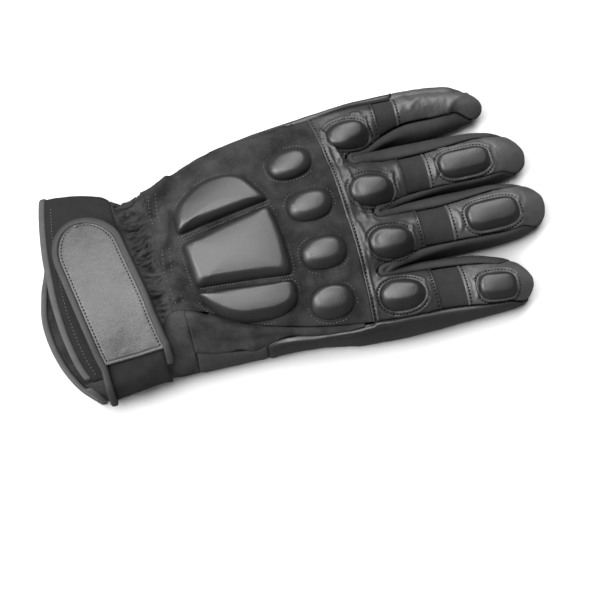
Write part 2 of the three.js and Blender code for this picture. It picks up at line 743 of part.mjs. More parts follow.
// The palm leather's flank on the little finger's side or on the index finger's side
function flankGrid(finger, arc, handStops) {
  const isThumb = arc === ARC.thumb;
  const slotX = isThumb ? finger.thumbSlot.x : finger.outerSlot.x;
  const stops = [...handStops, slotX, ...tipStops(finger, FINGER_START_X, 4, 5)];
  return stops.map((x) => steps(0, 1, 4).map((v) => {
    const part = x < HAND_END_X ? null : finger;
    const sec = section(part, x);
    const share = isThumb || x > KNUCKLE_SEAM_X ? 0 : sample(FLANK, x).share;
    const seam = isThumb ? 0 : 1 - share;
    const edge = inFrom(sec, arc, seam, isThumb ? 1 : 0, HALF_SEAM);
    const t = isThumb ? mix(edge, 1, v) : mix(0, edge, v);
    return wallPoint(part, x, arc, t, x < FINGER_START_X ? 0 : -HALF_SEAM);
  }));
}

// Cloth strip below the suede on the outer flank, tapering away at the knuckles
function sideStretch() {
  const length = SIDE_STRETCH_END_X - HAND_START_X;
  return panel([arcGrid(null, ARC.outer, {
    startX: fixed(HAND_START_X),
    endX: fixed(SIDE_STRETCH_END_X),
    rows: HAND_STOPS.map((x) => (Math.min(x, SIDE_STRETCH_END_X) - HAND_START_X) / length),
    columns: 4,
    from: (x) => 1 - sample(FLANK, x).share,
    to: () => 1,
    trimFrom: HALF_SEAM,
    trimTo: HALF_SEAM,
  })]);
}

function sideGusset() {
  return panel([arcGrid(null, ARC.outer, {
    startX: fixed(HAND_START_X),
    endX: fixed(FLANK_START_X - SEAM_GAP),
    rows: HAND_STOPS.slice(0, 5).map((x) => (x - HAND_START_X) / (FLANK_START_X - HAND_START_X)),
    columns: 4,
    from: () => 0,
    to: (x) => 1 - sample(FLANK, x).share,
    trimFrom: HALF_SEAM,
    trimTo: HALF_SEAM,
  })]);
}

// The strip of cloth between two fingers: down one finger's flank, round the slot end
// and out along the other finger's
function fourchette(outerFinger, thumbFinger) {
  const slot = outerFinger.thumbSlot;
  const reach = (finger) => finger.tip.x - FOURCHETTE_SHORT;
  const along = (finger) => [0, 0.015, 0.07, 0.16, 0.3, 0.45, 0.6, 0.75, 0.88, 1].map(
    (u) => mix(slot.x + 1, reach(finger), u),
  );
  const column = (finger, side, x) => steps(0, 1, 4).map((v) => {
    const sec = section(finger, x);
    const arc = ARC[side];
    const tuck = SEAM_GAP + (WALL + SEAM_GAP) * (1 - smooth((x - slot.x - 3) / 9));
    const [from, to] = trimmed(sec, arc, 0, 1, tuck, tuck);
    return wallPoint(finger, x, arc, side === "thumb" ? mix(from, to, v) : mix(to, from, v));
  });
  const lower = along(outerFinger).map((x) => column(outerFinger, "thumb", x));
  const upper = along(thumbFinger).map((x) => column(thumbFinger, "outer", x));
  const turn = lower[0].map((point, j) => {
    const other = upper[0][j];
    const middle = point.outer.map((v, i) => (v + other.outer[i]) / 2);
    return {
      outer: [slot.x + 0.5, middle[1], middle[2]],
      inner: [slot.x + 0.5 - WALL, middle[1], (point.inner[2] + other.inner[2]) / 2],
    };
  });
  return panel([[...upper.reverse(), turn, ...lower]]);
}

// Cuff and wrist

const cuffEdge = (name) => (y) => sample(CUFF_EDGE, y)[name];
const INSIDE_BINDING = BINDING.cuffWidth + 2 * SEAM_GAP;

function cuffBack() {
  const edge = (y) => cuffEdge("back")(y) + INSIDE_BINDING;
  const end = fixed(GATHER_START_X - SEAM_GAP / 2);
  return panel([
    arcGrid(null, ARC.back, {
      startX: edge, endX: end, rows: 4, columns: 12, trimFrom: HALF_SEAM,
    }),
    arcGrid(null, ARC.thumb, {
      startX: edge, endX: end, rows: 4, columns: 4, trimTo: HALF_SEAM,
    }),
  ]);
}

function cuffPalm() {
  const edge = (y) => cuffEdge("palm")(y) + INSIDE_BINDING;
  const end = fixed(HAND_START_X - SEAM_GAP);
  return panel([
    arcGrid(null, ARC.palm, {
      startX: edge, endX: end, rows: 8, columns: 10, trimFrom: 2 * SEAM_GAP,
    }),
    arcGrid(null, ARC.outer, {
      startX: edge, endX: end, rows: 8, columns: 4, trimTo: 2 * SEAM_GAP,
    }),
  ]);
}

// Cloth drawn in by elastic: a run of even folds that die out at both edges
function wristGather() {
  const columns = GATHER_FOLDS * 3;
  const grid = (arc, width) => steps(0, 1, 3).map((u) =>
    steps(0, 1, width).map((v) => {
      const x = mix(GATHER_START_X + SEAM_GAP / 2, GATHER_END_X - SEAM_GAP / 2, u);
      const sec = section(null, x);
      const isBack = arc === ARC.back;
      const [low, high] = trimmed(
        sec, arc, 0, 1, isBack ? 2 * SEAM_GAP : 0, isBack ? 0 : 2 * SEAM_GAP,
      );
      const t = mix(low, high, v);
      const point = wallPoint(null, x, arc, t);
      const along = isBack ? t : 1 + t * GATHER_FLANK;
      const ends = smooth(along / 0.08) * smooth((1 + GATHER_FLANK - along) / 0.1);
      const y = arcPoint(sec, arc, t)[0];
      const free = y > STRAP.endY ? 1 : smooth((x - strapCentreX(y) - STRAP.halfWidth - 1) / 4);
      const rise = GATHER_DEPTH * ends * free * Math.sin(u * Math.PI) ** 0.6
        * Math.sin(along * GATHER_FOLDS * 2 * Math.PI);
      const n = wallNormal(sec, arc, t);
      const shift = ([px, y, z]) => [px, y + n[0] * rise, z + n[1] * rise];
      return { outer: shift(point.outer), inner: shift(point.inner) };
    }));
  return panel([grid(ARC.back, columns), grid(ARC.thumb, columns * GATHER_FLANK)]);
}

// Binding along a cuff edge: a bar just beyond the edge of the cloth, over two arcs
function cuffBinding(name, arcs) {
  const line = cuffEdge(name);
  const stops = [];
  for (const { arc, from, to, count } of arcs) {
    for (const t of steps(from, to, count)) {
      let x = line(0);
      for (let turn = 0; turn < 4; turn += 1) x = line(arcPoint(section(null, x), arc, t)[0]);
      const at = x + BINDING.cuffWidth / 2;
      const { outer, inner } = wallPoint(null, at, arc, t);
      const high = outer.map((v, i) => (v - inner[i]) / WALL);
      const mid = outer.map((v, i) => (v + inner[i]) / 2);
      mid[2] = Math.max(mid[2], BINDING.cuffThickness / 2);
      const previous = stops[stops.length - 1];
      if (previous && Math.hypot(...mid.map((v, i) => v - previous.point[i])) < 1) continue;
      stops.push({ point: mid, wide: [1, 0, 0], high: unit(high) });
    }
  }
  return bar(stops, roundedProfile(BINDING.cuffWidth, BINDING.cuffThickness));
}

function unit(v) {
  const length = Math.hypot(...v) || 1;
  return v.map((c) => c / length);
}

// Strap. Turn runs from -1 at the palm seam up the outer flank to 0 at the back seam,
// and then counts the distance across the back in units of STRAP_UNIT millimetres.
const STRAP_UNIT = 100;
const STRAP_BENDS = [-0.42, -0.3, -0.2, -0.1];

function strapPoint(x, turn, height) {
  const sec = section(null, x);
  if (turn < 0) {
    const p = flankPoint(sec.outer, -turn);
    const n = wallNormal(sec, ARC.outer, 1 + turn);
    return { point: [x, p[0] + n[0] * height, p[1] + n[1] * height], normal: [0, n[0], n[1]] };
  }
  const width = sec.thumb.seam[0] - sec.outer.seam[0];
  const s = clamp((turn * STRAP_UNIT) / width, 0, 1);
  const p = sec.back(s);
  const n = wallNormal(sec, ARC.back, s);
  return { point: [x, p[0] + n[0] * height, p[1] + n[1] * height], normal: [0, n[0], n[1]] };
}

const OUTER_SEAM_Y = -44;
const turnOf = (y) => (y - OUTER_SEAM_Y) / STRAP_UNIT;
const strapCentreX = (y) => STRAP.centreX + STRAP.lean * (y + 1);

// A slab of the strap between two lengths, inset from its outline
function strapSlab(startTurn, inset, low, thickness) {
  const endY = STRAP.endY - inset;
  const half = STRAP.halfWidth - inset;
  const bend = STRAP_BENDS.filter((turn) => turn > startTurn);
  const flat = steps(Math.max(turnOf(-40), startTurn), turnOf(STRAP.roundY), 5);
  const round = steps(0, Math.PI / 2, 5).slice(1);
  const turns = [...new Set([startTurn, ...bend, ...flat])].map((turn) => ({ turn, keep: 1 }));
  const ends = round.map((angle) => ({
    turn: turnOf(STRAP.roundY + (endY - STRAP.roundY) * Math.sin(angle)),
    keep: Math.cos(angle),
  }));
  return panel([[...turns, ...ends].map(({ turn, keep }) => steps(-1, 1, 4).map((across) => {
    const y = OUTER_SEAM_Y + Math.max(turn, 0) * STRAP_UNIT;
    const x = strapCentreX(y) + across * half * keep;
    return {
      outer: strapPoint(x, turn, low + thickness).point,
      inner: strapPoint(x, turn, low).point,
    };
  }))]);
}

// Binding round the strap: up one edge, round its end and down the other edge
function strapBinding() {
  const inset = BINDING.width / 2;
  const half = STRAP.halfWidth - inset;
  const reach = STRAP.endY - inset - STRAP.roundY;
  const straight = [
    STRAP.startTurn, ...STRAP_BENDS, 0.02, ...steps(turnOf(-36), turnOf(STRAP.roundY), 4),
  ];
  const place = (turn, side) => {
    const y = OUTER_SEAM_Y + Math.max(turn, 0) * STRAP_UNIT;
    return [strapCentreX(y) + side * half, turn];
  };
  const round = steps(-Math.PI / 2, Math.PI / 2, 9).slice(1, -1).map((angle) => {
    const y = STRAP.roundY + reach * Math.cos(angle);
    return [strapCentreX(y) + half * Math.sin(angle), turnOf(y)];
  });
  const route = [
    ...straight.map((turn) => place(turn, -1)),
    ...round,
    ...straight.map((turn) => place(turn, 1)).reverse(),
  ];
  const height = STRAP.lift + BINDING.thickness / 2;
  const points = route.map(([x, turn]) => strapPoint(x, turn, height));
  const stops = points.map(({ point, normal }, i) => {
    const before = points[Math.max(i - 1, 0)].point;
    const after = points[Math.min(i + 1, points.length - 1)].point;
    const ahead = new THREE.Vector3(...after).sub(new THREE.Vector3(...before)).normalize();
    const high = new THREE.Vector3(...normal).normalize();
    const wide = new THREE.Vector3().crossVectors(ahead, high).normalize();
    return { point, wide: wide.toArray(), high: high.toArray() };
  });
  return bar(stops, roundedProfile(BINDING.width, BINDING.thickness));
}

// Pads

// Height of the back of the glove at a place in plan
function backHeight(x, y) {
  const finger = FINGERS.find((one) => {
    const row = sample(one.rows, x);
    return x > 30 && y >= row.outerSeam - 1 && y <= row.thumbSeam + 1;
  });
  const sec = section(finger || null, x);
  const s = (y - sec.outer.seam[0]) / (sec.thumb.seam[0] - sec.outer.seam[0]);
  return sec.back(clamp(s, 0, 1))[1];
}

// A dome with a flat rim on the back of the glove. Place maps the unit disc to plan.
function dome(place, height, segments, rings) {
  const points = [];
  const levels = [
    ...rings.map((r) => ({ r, top: true })),
    ...[...rings].reverse().map((r) => ({ r, top: false })),
  ];
  for (const { r, top } of levels) {
    for (let i = 0; i < segments; i += 1) {
      const angle = (i / segments) * 2 * Math.PI;
      const [x, y] = place(r * Math.cos(angle), r * Math.sin(angle), r);
      const base = backHeight(x, y) + PAD_CLEARANCE;
      const crown = PAD_EDGE + (height - PAD_EDGE) * (1 - r ** 3) ** 0.7;
      points.push([x, y, top ? base + crown : base]);
    }
  }
  const triangles = [];
  for (let k = 0; k + 1 < levels.length; k += 1) {
    for (let i = 0; i < segments; i += 1) {
      const j = (i + 1) % segments;
      const [a, b] = [k * segments + i, k * segments + j];
      triangles.push([a, a + segments, b + segments], [a, b + segments, b]);
    }
  }
  const last = (levels.length - 1) * segments;
  const centre = place(0, 0, 0);
  const base = backHeight(...centre) + PAD_CLEARANCE;
  const top = points.push([...centre, base + height]) - 1;
  const bottom = points.push([...centre, base]) - 1;
  for (let i = 0; i < segments; i += 1) {
    const j = (i + 1) % segments;
    triangles.push([top, i, j], [bottom, last + j, last + i]);
  }
  return solid(points, triangles);
}

// Pushes the unit circle out to a squarer outline
function squared(a, b, power) {
  const size = Math.hypot(a, b);
  if (size < 1e-9) return [0, 0];
  const grow = size / (Math.abs(a) ** power + Math.abs(b) ** power) ** (1 / power);
  return [a * grow, b * grow];
}

function addPads() {
  for (const { name, back, front, height, square } of PADS) {
    const place = (a, b, r) => {
      const [u, v] = squared(a, b, mix(2, square, r));
      const [across, along] = [(v + 1) / 2, (u + 1) / 2];
      const start = back[0].map((c, i) => mix(c, back[1][i], across));
      const end = front[0].map((c, i) => mix(c, front[1][i], across));
      return start.map((c, i) => mix(c, end[i], along));
    };
    addPiece(`pad_${name}`, dome(place, height, 16, [0.55, 0.86, 1]), FINISH.pad);
  }
  for (const { name, x, y, length, width, turn, height } of OVALS) {
    const angle = THREE.MathUtils.degToRad(turn);
    const place = (a, b) => [
      x + (a * length * Math.cos(angle) - b * width * Math.sin(angle)) / 2,
      y + (a * length * Math.sin(angle) + b * width * Math.cos(angle)) / 2,
    ];
    addPiece(`pad_${name}`, dome(place, height, 12, [0.55, 0.85, 1]), FINISH.pad);
  }
}

// Thumb

// Sections of the thumb: a quarter turn about a hinge line just in front of the root,
// then a gently curving run under the palm
function thumbSections() {
  const { hingeX, hingeGap, rootZ, rootY, turnSteps, heading, sections } = THUMB;
  const list = [];
  const start = sections[0];
  for (const turn of steps(0, Math.PI / 2, turnSteps)) {
    const out = [-Math.cos(turn), 0, -Math.sin(turn)];
    list.push({
      top: [hingeX + out[0] * hingeGap, rootY, rootZ + out[2] * hingeGap],
      across: [0, 1, 0],
      out,
      halfWidth: start.halfWidth,
      height: start.height,
    });
  }
  let point = [hingeX, rootY];
  let along = 0;
  for (const next of sections.slice(1)) {
    const length = sections[sections.length - 1].along;
    const angle = THREE.MathUtils.degToRad(heading * smooth(next.along / length / 0.6));
    const step = next.along - along;
    point = [point[0] + step * Math.cos(angle), point[1] + step * Math.sin(angle)];
    along = next.along;
    list.push({
      top: [point[0], point[1], next.height - THUMB.settle],
      across: [-Math.sin(angle), Math.cos(angle), 0],
      out: [0, 0, -1],
      halfWidth: next.halfWidth,
      height: next.height,
    });
  }
  return list;
}

// One half of the thumb: angles from 0 to 180 degrees are the half against the palm
function thumbHalf(from, to) {
  const trim = 1.2;
  const grid = thumbSections().map((sec, index, all) => {
    const last = index === all.length - 1;
    return steps(from + trim, to - trim, THUMB.wallPoints / 2).map((degrees) => {
      const angle = THREE.MathUtils.degToRad(degrees);
      const [c, s] = [Math.cos(angle), Math.sin(angle)];
      const at = (inset) => {
        const w = Math.max(sec.halfWidth - inset, 0.6);
        const h = Math.max(sec.height / 2 - inset, 0.6);
        const power = 2 / 3;
        const a = w * Math.sign(c) * Math.abs(c) ** power;
        const b = sec.height / 2 - h * Math.sign(s) * Math.abs(s) ** power;
        const back = last ? inset : 0;
        return sec.top.map((v, i) => v + sec.across[i] * a + sec.out[i] * b
          - (i === 0 ? back : 0));
      };
      const flatten = (p, low) => [p[0], p[1], Math.max(p[2], low)];
      return { outer: flatten(at(0), 0), inner: flatten(at(WALL), WALL) };
    });
  });
  return panel([grid]);
}

// Assembly

addPiece("palm_leather", palmPanel(), FINISH.leather);
addPiece("thumb_back", thumbHalf(0, 180), FINISH.leather);
addPiece("thumb_palm", thumbHalf(180, 360), FINISH.leather);
addPiece("back_suede", suedeBack(), FINISH.suede);
addPiece("side_stretch", sideStretch(), FINISH.stretch);
addPiece("side_gusset", sideGusset(), FINISH.twill);
addPiece("knuckle_band", knuckleBand(), FINISH.leather);
for (const finger of FINGERS) {
  addPiece(`stretch_${finger.name}`, stretchPanel(finger), FINISH.stretch);
  addPiece(`tip_${finger.name}`, tipPanel(finger), FINISH.leather);
}
for (let i = 0; i + 1 < FINGERS.length; i += 1) {
  const [outerFinger, thumbFinger] = [FINGERS[i], FINGERS[i + 1]];
  const name = `fourchette_${thumbFinger.name}_${outerFinger.name}`;
  addPiece(name, fourchette(outerFinger, thumbFinger), FINISH.stretch);
}
addPads();
addPiece("wrist_gather", wristGather(), FINISH.stretch);
addPiece("cuff_back", cuffBack(), FINISH.stretch);
addPiece("cuff_palm", cuffPalm(), FINISH.stretch);
addPiece("binding_back", cuffBinding("back", [
  { arc: ARC.back, from: 0.02, to: 1, count: 12 },
  { arc: ARC.thumb, from: 0, to: 0.96, count: 5 },
]), FINISH.binding);
addPiece("binding_palm", cuffBinding("palm", [
  { arc: ARC.palm, from: 0.02, to: 1, count: 12 },
  { arc: ARC.outer, from: 0, to: 0.9, count: 5 },
]), FINISH.binding);
addPiece("strap_base", strapSlab(
  STRAP.startTurn, STRAP.border, STRAP.lift, STRAP.baseThickness,
), FINISH.stretch);
addPiece("strap_face", strapSlab(
  turnOf(STRAP.faceStartY),
  STRAP.border,
  STRAP.lift + STRAP.baseThickness + SEAM_GAP,
  STRAP.faceThickness,
), FINISH.strap);
addPiece("strap_binding", strapBinding(), FINISH.binding);

group.position.set(-ORIGIN.x, -ORIGIN.y, 0);

export default group;
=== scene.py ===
"""Dresses a right-hand tactical glove that lies palm down: panels, pads, seams, strap and stage."""

import bpy
import numpy as np
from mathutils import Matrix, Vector


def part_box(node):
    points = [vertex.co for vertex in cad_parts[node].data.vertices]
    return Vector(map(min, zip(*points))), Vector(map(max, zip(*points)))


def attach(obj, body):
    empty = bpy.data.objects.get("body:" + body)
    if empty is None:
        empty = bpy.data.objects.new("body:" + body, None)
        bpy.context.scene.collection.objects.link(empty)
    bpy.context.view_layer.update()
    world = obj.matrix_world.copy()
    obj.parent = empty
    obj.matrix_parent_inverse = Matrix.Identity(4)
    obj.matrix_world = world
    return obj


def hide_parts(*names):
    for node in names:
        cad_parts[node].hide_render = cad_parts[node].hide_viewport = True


bl_info = {
    "name": "Tactical glove",
    "version": (1, 0, 0),
    "blender": (4, 5, 0),
    "location": "View3D > Sidebar > Glove",
    "description": "Builds the finished panels, pads, stitching and stage of a glove",
    "category": "Add Mesh",
}

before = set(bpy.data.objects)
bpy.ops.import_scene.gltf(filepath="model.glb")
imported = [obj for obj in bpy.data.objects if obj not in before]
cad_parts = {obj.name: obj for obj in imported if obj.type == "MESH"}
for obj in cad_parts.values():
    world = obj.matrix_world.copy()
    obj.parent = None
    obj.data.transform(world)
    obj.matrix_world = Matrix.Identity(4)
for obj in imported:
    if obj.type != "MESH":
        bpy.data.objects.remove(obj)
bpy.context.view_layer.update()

# Lengths in the tables and formulas are millimetres, with x from the cuff to the fingertips,
# y towards the thumb side and z up. ORIGIN is the middle of the glove's box on the table.
MM = 0.001
ORIGIN = np.array([0.73, 1.56, 0.0])
BACK, THUMB_SIDE, PALM, OUTER_SIDE = range(4)
KNUCKLE_SEAM = {"x": 28.0, "sag": 4.5, "y": -20.0, "span": 69.0}
KNUCKLE_DIP = {"depth": 2.4, "width": 5.5, "start": 8.0, "run": 30.0}
BACK_ARCH_POWER = 2.4
GATHER = {"start": -79.5, "end": -63.2, "flank": 0.25, "height": 2.1}
HAND_START = -57.6
HAND_END = 20.0
SIDE_STRETCH_END = 23.0
FLANK_START = -24.0
PALM_INSET = 2.2
PALM_LIFT = 2.6
ROOT_BLEND = 24.0
FLANK_CLOSE = 12.0
TIP_SQUARENESS = 2.4
SIDE_SHARE = 0.6
# Where each slot between two fingers ends
SLOT_ENDS = {"little_ring": (34.3, -31.0), "ring_middle": (40.3, -2.0),
             "middle_index": (35.0, 27.6)}
SLOT = {"depth": 3.2, "half": 2.2, "fade": 9.0, "reach": 6.0}
SLOT_ROLL = {"radius": 1.6, "thinning": 0.9, "start": 0.3, "length": 27.7}
STRAP = {"half": 17.0, "x": -92.6, "lean": -0.17, "round": 13.0, "end": 33.0, "start": -0.55,
         "stop": -0.17, "face": -40.5, "border": 3.3, "unit": 100.0, "seam": -44.0}
STRAP_LAYERS = {"base": 2.1, "face": 3.9, "binding": 2.45, "binding_inset": 1.55}
CUFF_BINDING = {"inside": 2.8, "width": 3.4, "thickness": 3.2, "sink": 0.8, "lowest": 1.5}
THUMB = {"hinge_x": -20.6, "gap": 2.1, "root_z": 15.25, "root_y": 28.0, "heading": -30.0,
         "curve": 0.6, "settle": 0.45, "hole_back": -34.4, "hole_front": -24.0, "stops": 110}
# How far a panel's edge stays from the line of its seam
SEAM = 0.07
# Longest step along the palm between two rows of its grid
PALM_STEP = 1.6


def table(columns, rows):
    """Rows of numbers as a dictionary of named columns."""
    grid = np.array(rows, float)
    return {name: grid[:, i] for i, name in enumerate(columns.split())}


HAND = table(
    "x outer_side outer_seam thumb_seam thumb_side top outer_top thumb_top outer_mid thumb_mid"
    " sole thumb_sole",
    [
        (-128, -52, -45, 47, 52.5, 26, 19, 19, 10, 11, 0.6, 0.6),
        (-105, -53, -45, 47, 52, 28.5, 21, 22, 10, 12, 0.6, 0.8),
        (-85, -51, -43, 41, 46.4, 31, 23, 25, 10, 14, 0.6, 1.5),
        (-76, -49.8, -38, 35.5, 39.8, 32.5, 26.5, 26.5, 10.5, 15.5, 0.6, 3),
        (-64, -50.5, -25, 37.4, 41.6, 35.5, 32, 28.5, 11, 18, 0.6, 8),
        (-48, -51.3, -29, 41.5, 45.4, 38.5, 33, 30.5, 11, 21, 0.4, 14.8),
        (-30, -51.8, -39, 46.8, 50.9, 40.5, 31, 31.5, 11, 23, 0.2, 16),
        (0, -54, -48, 51, 54.9, 41.5, 29, 32, 11, 24, 0, 15.4),
        (25, -58.8, -52.2, 52.7, 57, 41, 27.5, 32, 11, 24, 0.2, 13),
        (40, -59.8, -53.4, 55, 59.8, 38, 26, 30, 11, 21.5, 0.4, 11.3),
        (62, -59.6, -53.9, 57.2, 62.6, 31, 23, 25, 10, 16, 0.4, 8),
    ],
)
FINGER_COLUMNS = "x outer_side outer_seam thumb_seam thumb_side top seam mid sole"
LITTLE = {
    "name": "little", "outer_slot": (35.0, -53.0), "thumb_slot": SLOT_ENDS["little_ring"],
    "tip": (110.7, -47.5, 8.0), "round": 14.0, "stretch": 61.5, "end": 74.5,
    "rows": table(FINGER_COLUMNS, [
        (20, -58.2, -51.6, -31, -31, 40, 34, 16, 0.2),
        (34.3, -59.4, -53, -31, -31, 36, 30, 17, 0.2),
        (44, -59.8, -53.6, -33, -28.6, 32.5, 27, 15, 0.2),
        (53, -59.8, -54, -33, -26.8, 29.5, 24.5, 13, 0.2),
        (62, -59.6, -53.9, -32.9, -26.2, 27, 22, 11.5, 0.2),
        (74, -59.4, -54.8, -33.6, -27.3, 24.5, 20, 10.5, 0.2),
        (86, -59.2, -56.2, -35, -28.6, 22, 18, 9.5, 0),
        (98, -58.9, -56.4, -37.2, -31.6, 19.5, 15.5, 8.5, -0.4),
        (110, -57.5, -55, -40, -36, 17, 13, 7.5, -0.4),
    ]),
}
RING = {
    "name": "ring", "outer_slot": SLOT_ENDS["little_ring"], "thumb_slot": SLOT_ENDS["ring_middle"],
    "tip": (128.2, -10.5, 8.0), "round": 19.0, "stretch": 62.5, "end": 76.8,
    "rows": table(FINGER_COLUMNS, [
        (20, -31, -31, -2, -2, 41, 36, 20, 4),
        (34.3, -31, -31, -2, -2, 38.5, 33, 20, 4),
        (40.3, -29.2, -28, -2, -2, 36.5, 31, 18.5, 4),
        (48, -27.6, -25.2, -4.4, 0.6, 34, 28.5, 17, 4),
        (60, -26, -22.6, -3.5, 3.6, 30.5, 25.5, 14.5, 3.5),
        (75, -25.4, -22.5, -3.3, 4.6, 27.5, 23, 12.5, 2.5),
        (90, -25.8, -22.6, -1.9, 4.6, 25, 20.5, 10.5, 1),
        (105, -25.6, -22.7, -0.4, 4.4, 22.5, 18, 9, -0.2),
        (128, -23.5, -20.5, -1, 2.5, 17, 13.5, 7.5, -0.4),
    ]),
}
MIDDLE = {
    "name": "middle", "outer_slot": SLOT_ENDS["ring_middle"],
    "thumb_slot": SLOT_ENDS["middle_index"],
    "tip": (126.2, 15.8, 8.0), "round": 19.0, "stretch": 61.3, "end": 73.0,
    "rows": table(FINGER_COLUMNS, [
        (20, -2, -2, 27.6, 27.6, 41, 36, 24, 12),
        (35, -2, -2, 27.6, 27.6, 38, 33, 21, 11),
        (40.3, -2, -2, 24.8, 30, 36, 31, 19.5, 10),
        (48, 1.2, 1.4, 24.3, 32.4, 33.5, 28.5, 17.5, 9),
        (60, 4.4, 5.2, 24.7, 34.3, 30, 25.5, 14.5, 6.5),
        (75, 5.4, 6.2, 25.4, 34.6, 27.5, 23, 12, 4),
        (90, 5.4, 6.6, 26.8, 34.2, 25, 20.5, 10.5, 1.8),
        (104, 5.3, 7.2, 28, 33.4, 22, 18, 9, 0),
        (126, 6, 9, 26.5, 30.5, 17, 13.5, 7.5, -0.4),
    ]),
}
INDEX = {
    "name": "index", "outer_slot": SLOT_ENDS["middle_index"], "thumb_slot": (35.0, 54.2),
    "tip": (113.3, 47.0, 8.0), "round": 18.0, "stretch": 56.8, "end": 66.5,
    "rows": table(FINGER_COLUMNS, [
        (20, 27.6, 27.6, 52.4, 56.6, 40, 33, 24, 13),
        (35, 27.6, 27.6, 54.2, 58.6, 34, 28, 20, 11.5),
        (46, 31.8, 32.2, 56, 61, 31.5, 26, 17.5, 9.5),
        (57, 35.2, 38.6, 57, 62.1, 29, 24, 15.5, 7.5),
        (70, 35.8, 42.8, 57.5, 62.9, 26.5, 21.5, 13.5, 5),
        (84, 36.4, 43.5, 57.4, 62.7, 24, 19, 11.5, 2.5),
        (98, 38.3, 44.3, 55.8, 61.2, 21, 16, 9.5, 0.3),
        (113, 40, 43.5, 51, 57, 17, 13, 8, -0.4),
    ]),
}
FINGERS = (LITTLE, RING, MIDDLE, INDEX)
CUFF_EDGE = table("x back palm", [
    (-54, -104, -106), (-41, -112, -117), (-25, -116, -124), (-6, -117.8, -126.8),
    (10, -117.6, -124), (21, -117.2, -120.2), (40, -115.2, -117), (53, -113, -114),
])
# Share of the outer flank under the stretch cloth, and of the thumb-side flank under the suede
FLANK = table("x share", [
    (-58, 0.33), (-32, 0.41), (-24, 0.36), (-14, 0.26), (0, 0.23), (15, 0.14), (27, 0.06),
    (60, 0.06),
])
COVER = table("x share", [(-64, 0.5), (-30, 0.42), (-10, 0.26), (8, 0.12), (28, 0.05)])
# The thumb as a flattened tube, by the run from its hinge
THUMB_SECTIONS = table("run half height", [
    (0, 16, 13.6), (14, 15, 12.6), (30, 13.8, 11.6), (44, 12.6, 10.8), (54, 10.6, 9.6),
    (59, 7.2, 7.8), (61, 3, 5.4),
])

# Large moulded pads: corners in plan, each cut off by its own distance
BIG_PADS = {
    "pad_hand_upper": table("x y cut", [
        (-52.2, 9.6, 2.5), (-51.2, 22.4, 6), (-37.0, 33.4, 9), (-17.0, 33.4, 9), (-6.6, 14.8, 2.0),
    ]),
    "pad_hand_middle": table("x y cut", [
        (-51.2, 4.2, 2.5), (-7.0, 11.6, 3), (-4.0, -5.0, 9), (-4.6, -23.2, 3.5), (-49.6, -17.6, 3),
    ]),
    "pad_hand_lower": table("x y cut", [
        (-50.4, -20.4, 1.5), (-4.6, -26.4, 3.4), (-4.8, -36.4, 4.6), (-14, -40.3, 5.2),
        (-34.0, -38.8, 7.4), (-44.6, -31.0, 5.6),
    ]),
}
PAD_HEIGHTS = {"pad_hand_upper": 6.6, "pad_hand_middle": 5.8, "pad_hand_lower": 6.6}
# Oval pads: middle, axes, turn in degrees, height, and how square the superellipse is
OVAL_COLUMNS = "x y length width turn height power".split()
OVAL_PADS = {name: dict(zip(OVAL_COLUMNS, row)) for name, *row in (
    ("pad_back_index", 8.1, 30.6, 21.5, 15.4, 6, 5.2, 2.3),
    ("pad_back_middle", 11.8, 7.0, 21.5, 15.4, 2, 5.2, 2.3),
    ("pad_back_ring", 12.4, -17.0, 21.5, 15.4, 0, 5.2, 2.3),
    ("pad_back_little", 10.6, -39.6, 20.5, 15.0, -2, 5.2, 2.3),
    ("pad_knuckle_index", 40.0, 39.8, 21.5, 15.2, 6, 5.6, 2.3),
    ("pad_knuckle_middle", 43.4, 8.8, 22.0, 15.6, 2, 5.6, 2.3),
    ("pad_knuckle_ring", 45.6, -18.4, 22.0, 15.0, 0, 5.6, 2.3),
    ("pad_knuckle_little", 44.2, -43.7, 21.5, 14.4, -2, 5.6, 2.3),
    ("pad_finger_middle", 92.9, 15.4, 26.5, 13.6, 2, 4.2, 3.2),
    ("pad_finger_ring", 98.8, -13.5, 27.0, 14.4, 2, 4.2, 3.2),
    ("pad_finger_little", 91.0, -48.6, 19.0, 12.8, -5, 4.2, 3.0),
)}
# Mould of each group of pads: width of the rounded rim, how far the top falls from its middle to
# the rim, and the share of the panel's own curve that the top leaves out
PAD_RIM_POWER = 2.2
PAD_MOULDS = {
    "pad_hand": {"shoulder": 3.8, "crown": 1.2, "level": 0.2},
    "pad_hand_lower": {"shoulder": 3.8, "crown": 1.2, "level": 0.6},
    "pad_back": {"shoulder": 4.2, "crown": 2.0, "level": 0.4},
    "pad_knuckle": {"shoulder": 4.2, "crown": 2.0, "level": 0.7},
    "pad_finger": {"shoulder": 2.8, "crown": 0.8, "level": 0.4},
}

# Folds and creases: a ridge along a bowed line from one place in plan to another
SUEDE_FOLDS = table("x0 y0 x1 y1 bow width height", [
    (-62, 22, -50, 38, 3, 3.2, -2.85), (-58, 28, -26, 45, 2, 4.0, -2.28),
    (-61, 4, -54, 26, -2, 2.4, 2.47), (-62, -2, -52, -18, 3, 3.0, -2.28),
    (-62, -10, -46, -27, 2, 2.6, 2.47), (-62, -20, -46, -32, 2, 2.2, -2.47),
    (-60, -24, -24, -45, -3, 3.4, 3.04), (-60, -33, -30, -49, -3, 2.4, -2.66),
    (-46, -41, -2, -49, -2, 2.6, -1.9), (-61, 34, -48, 44, -1, 2.6, 1.9),
    (-30, 38, -4, 44, -1, 3.4, 1.52), (-4, 20, 24, 20, 2, 3.0, -1.14),
    (-2, 44, 22, 46, 1, 4.0, 1.71), (0, -6, 22, -5, 1, 3.0, 0.95),
    (0, -29, 24, -29, -1, 3.0, 0.95),
])
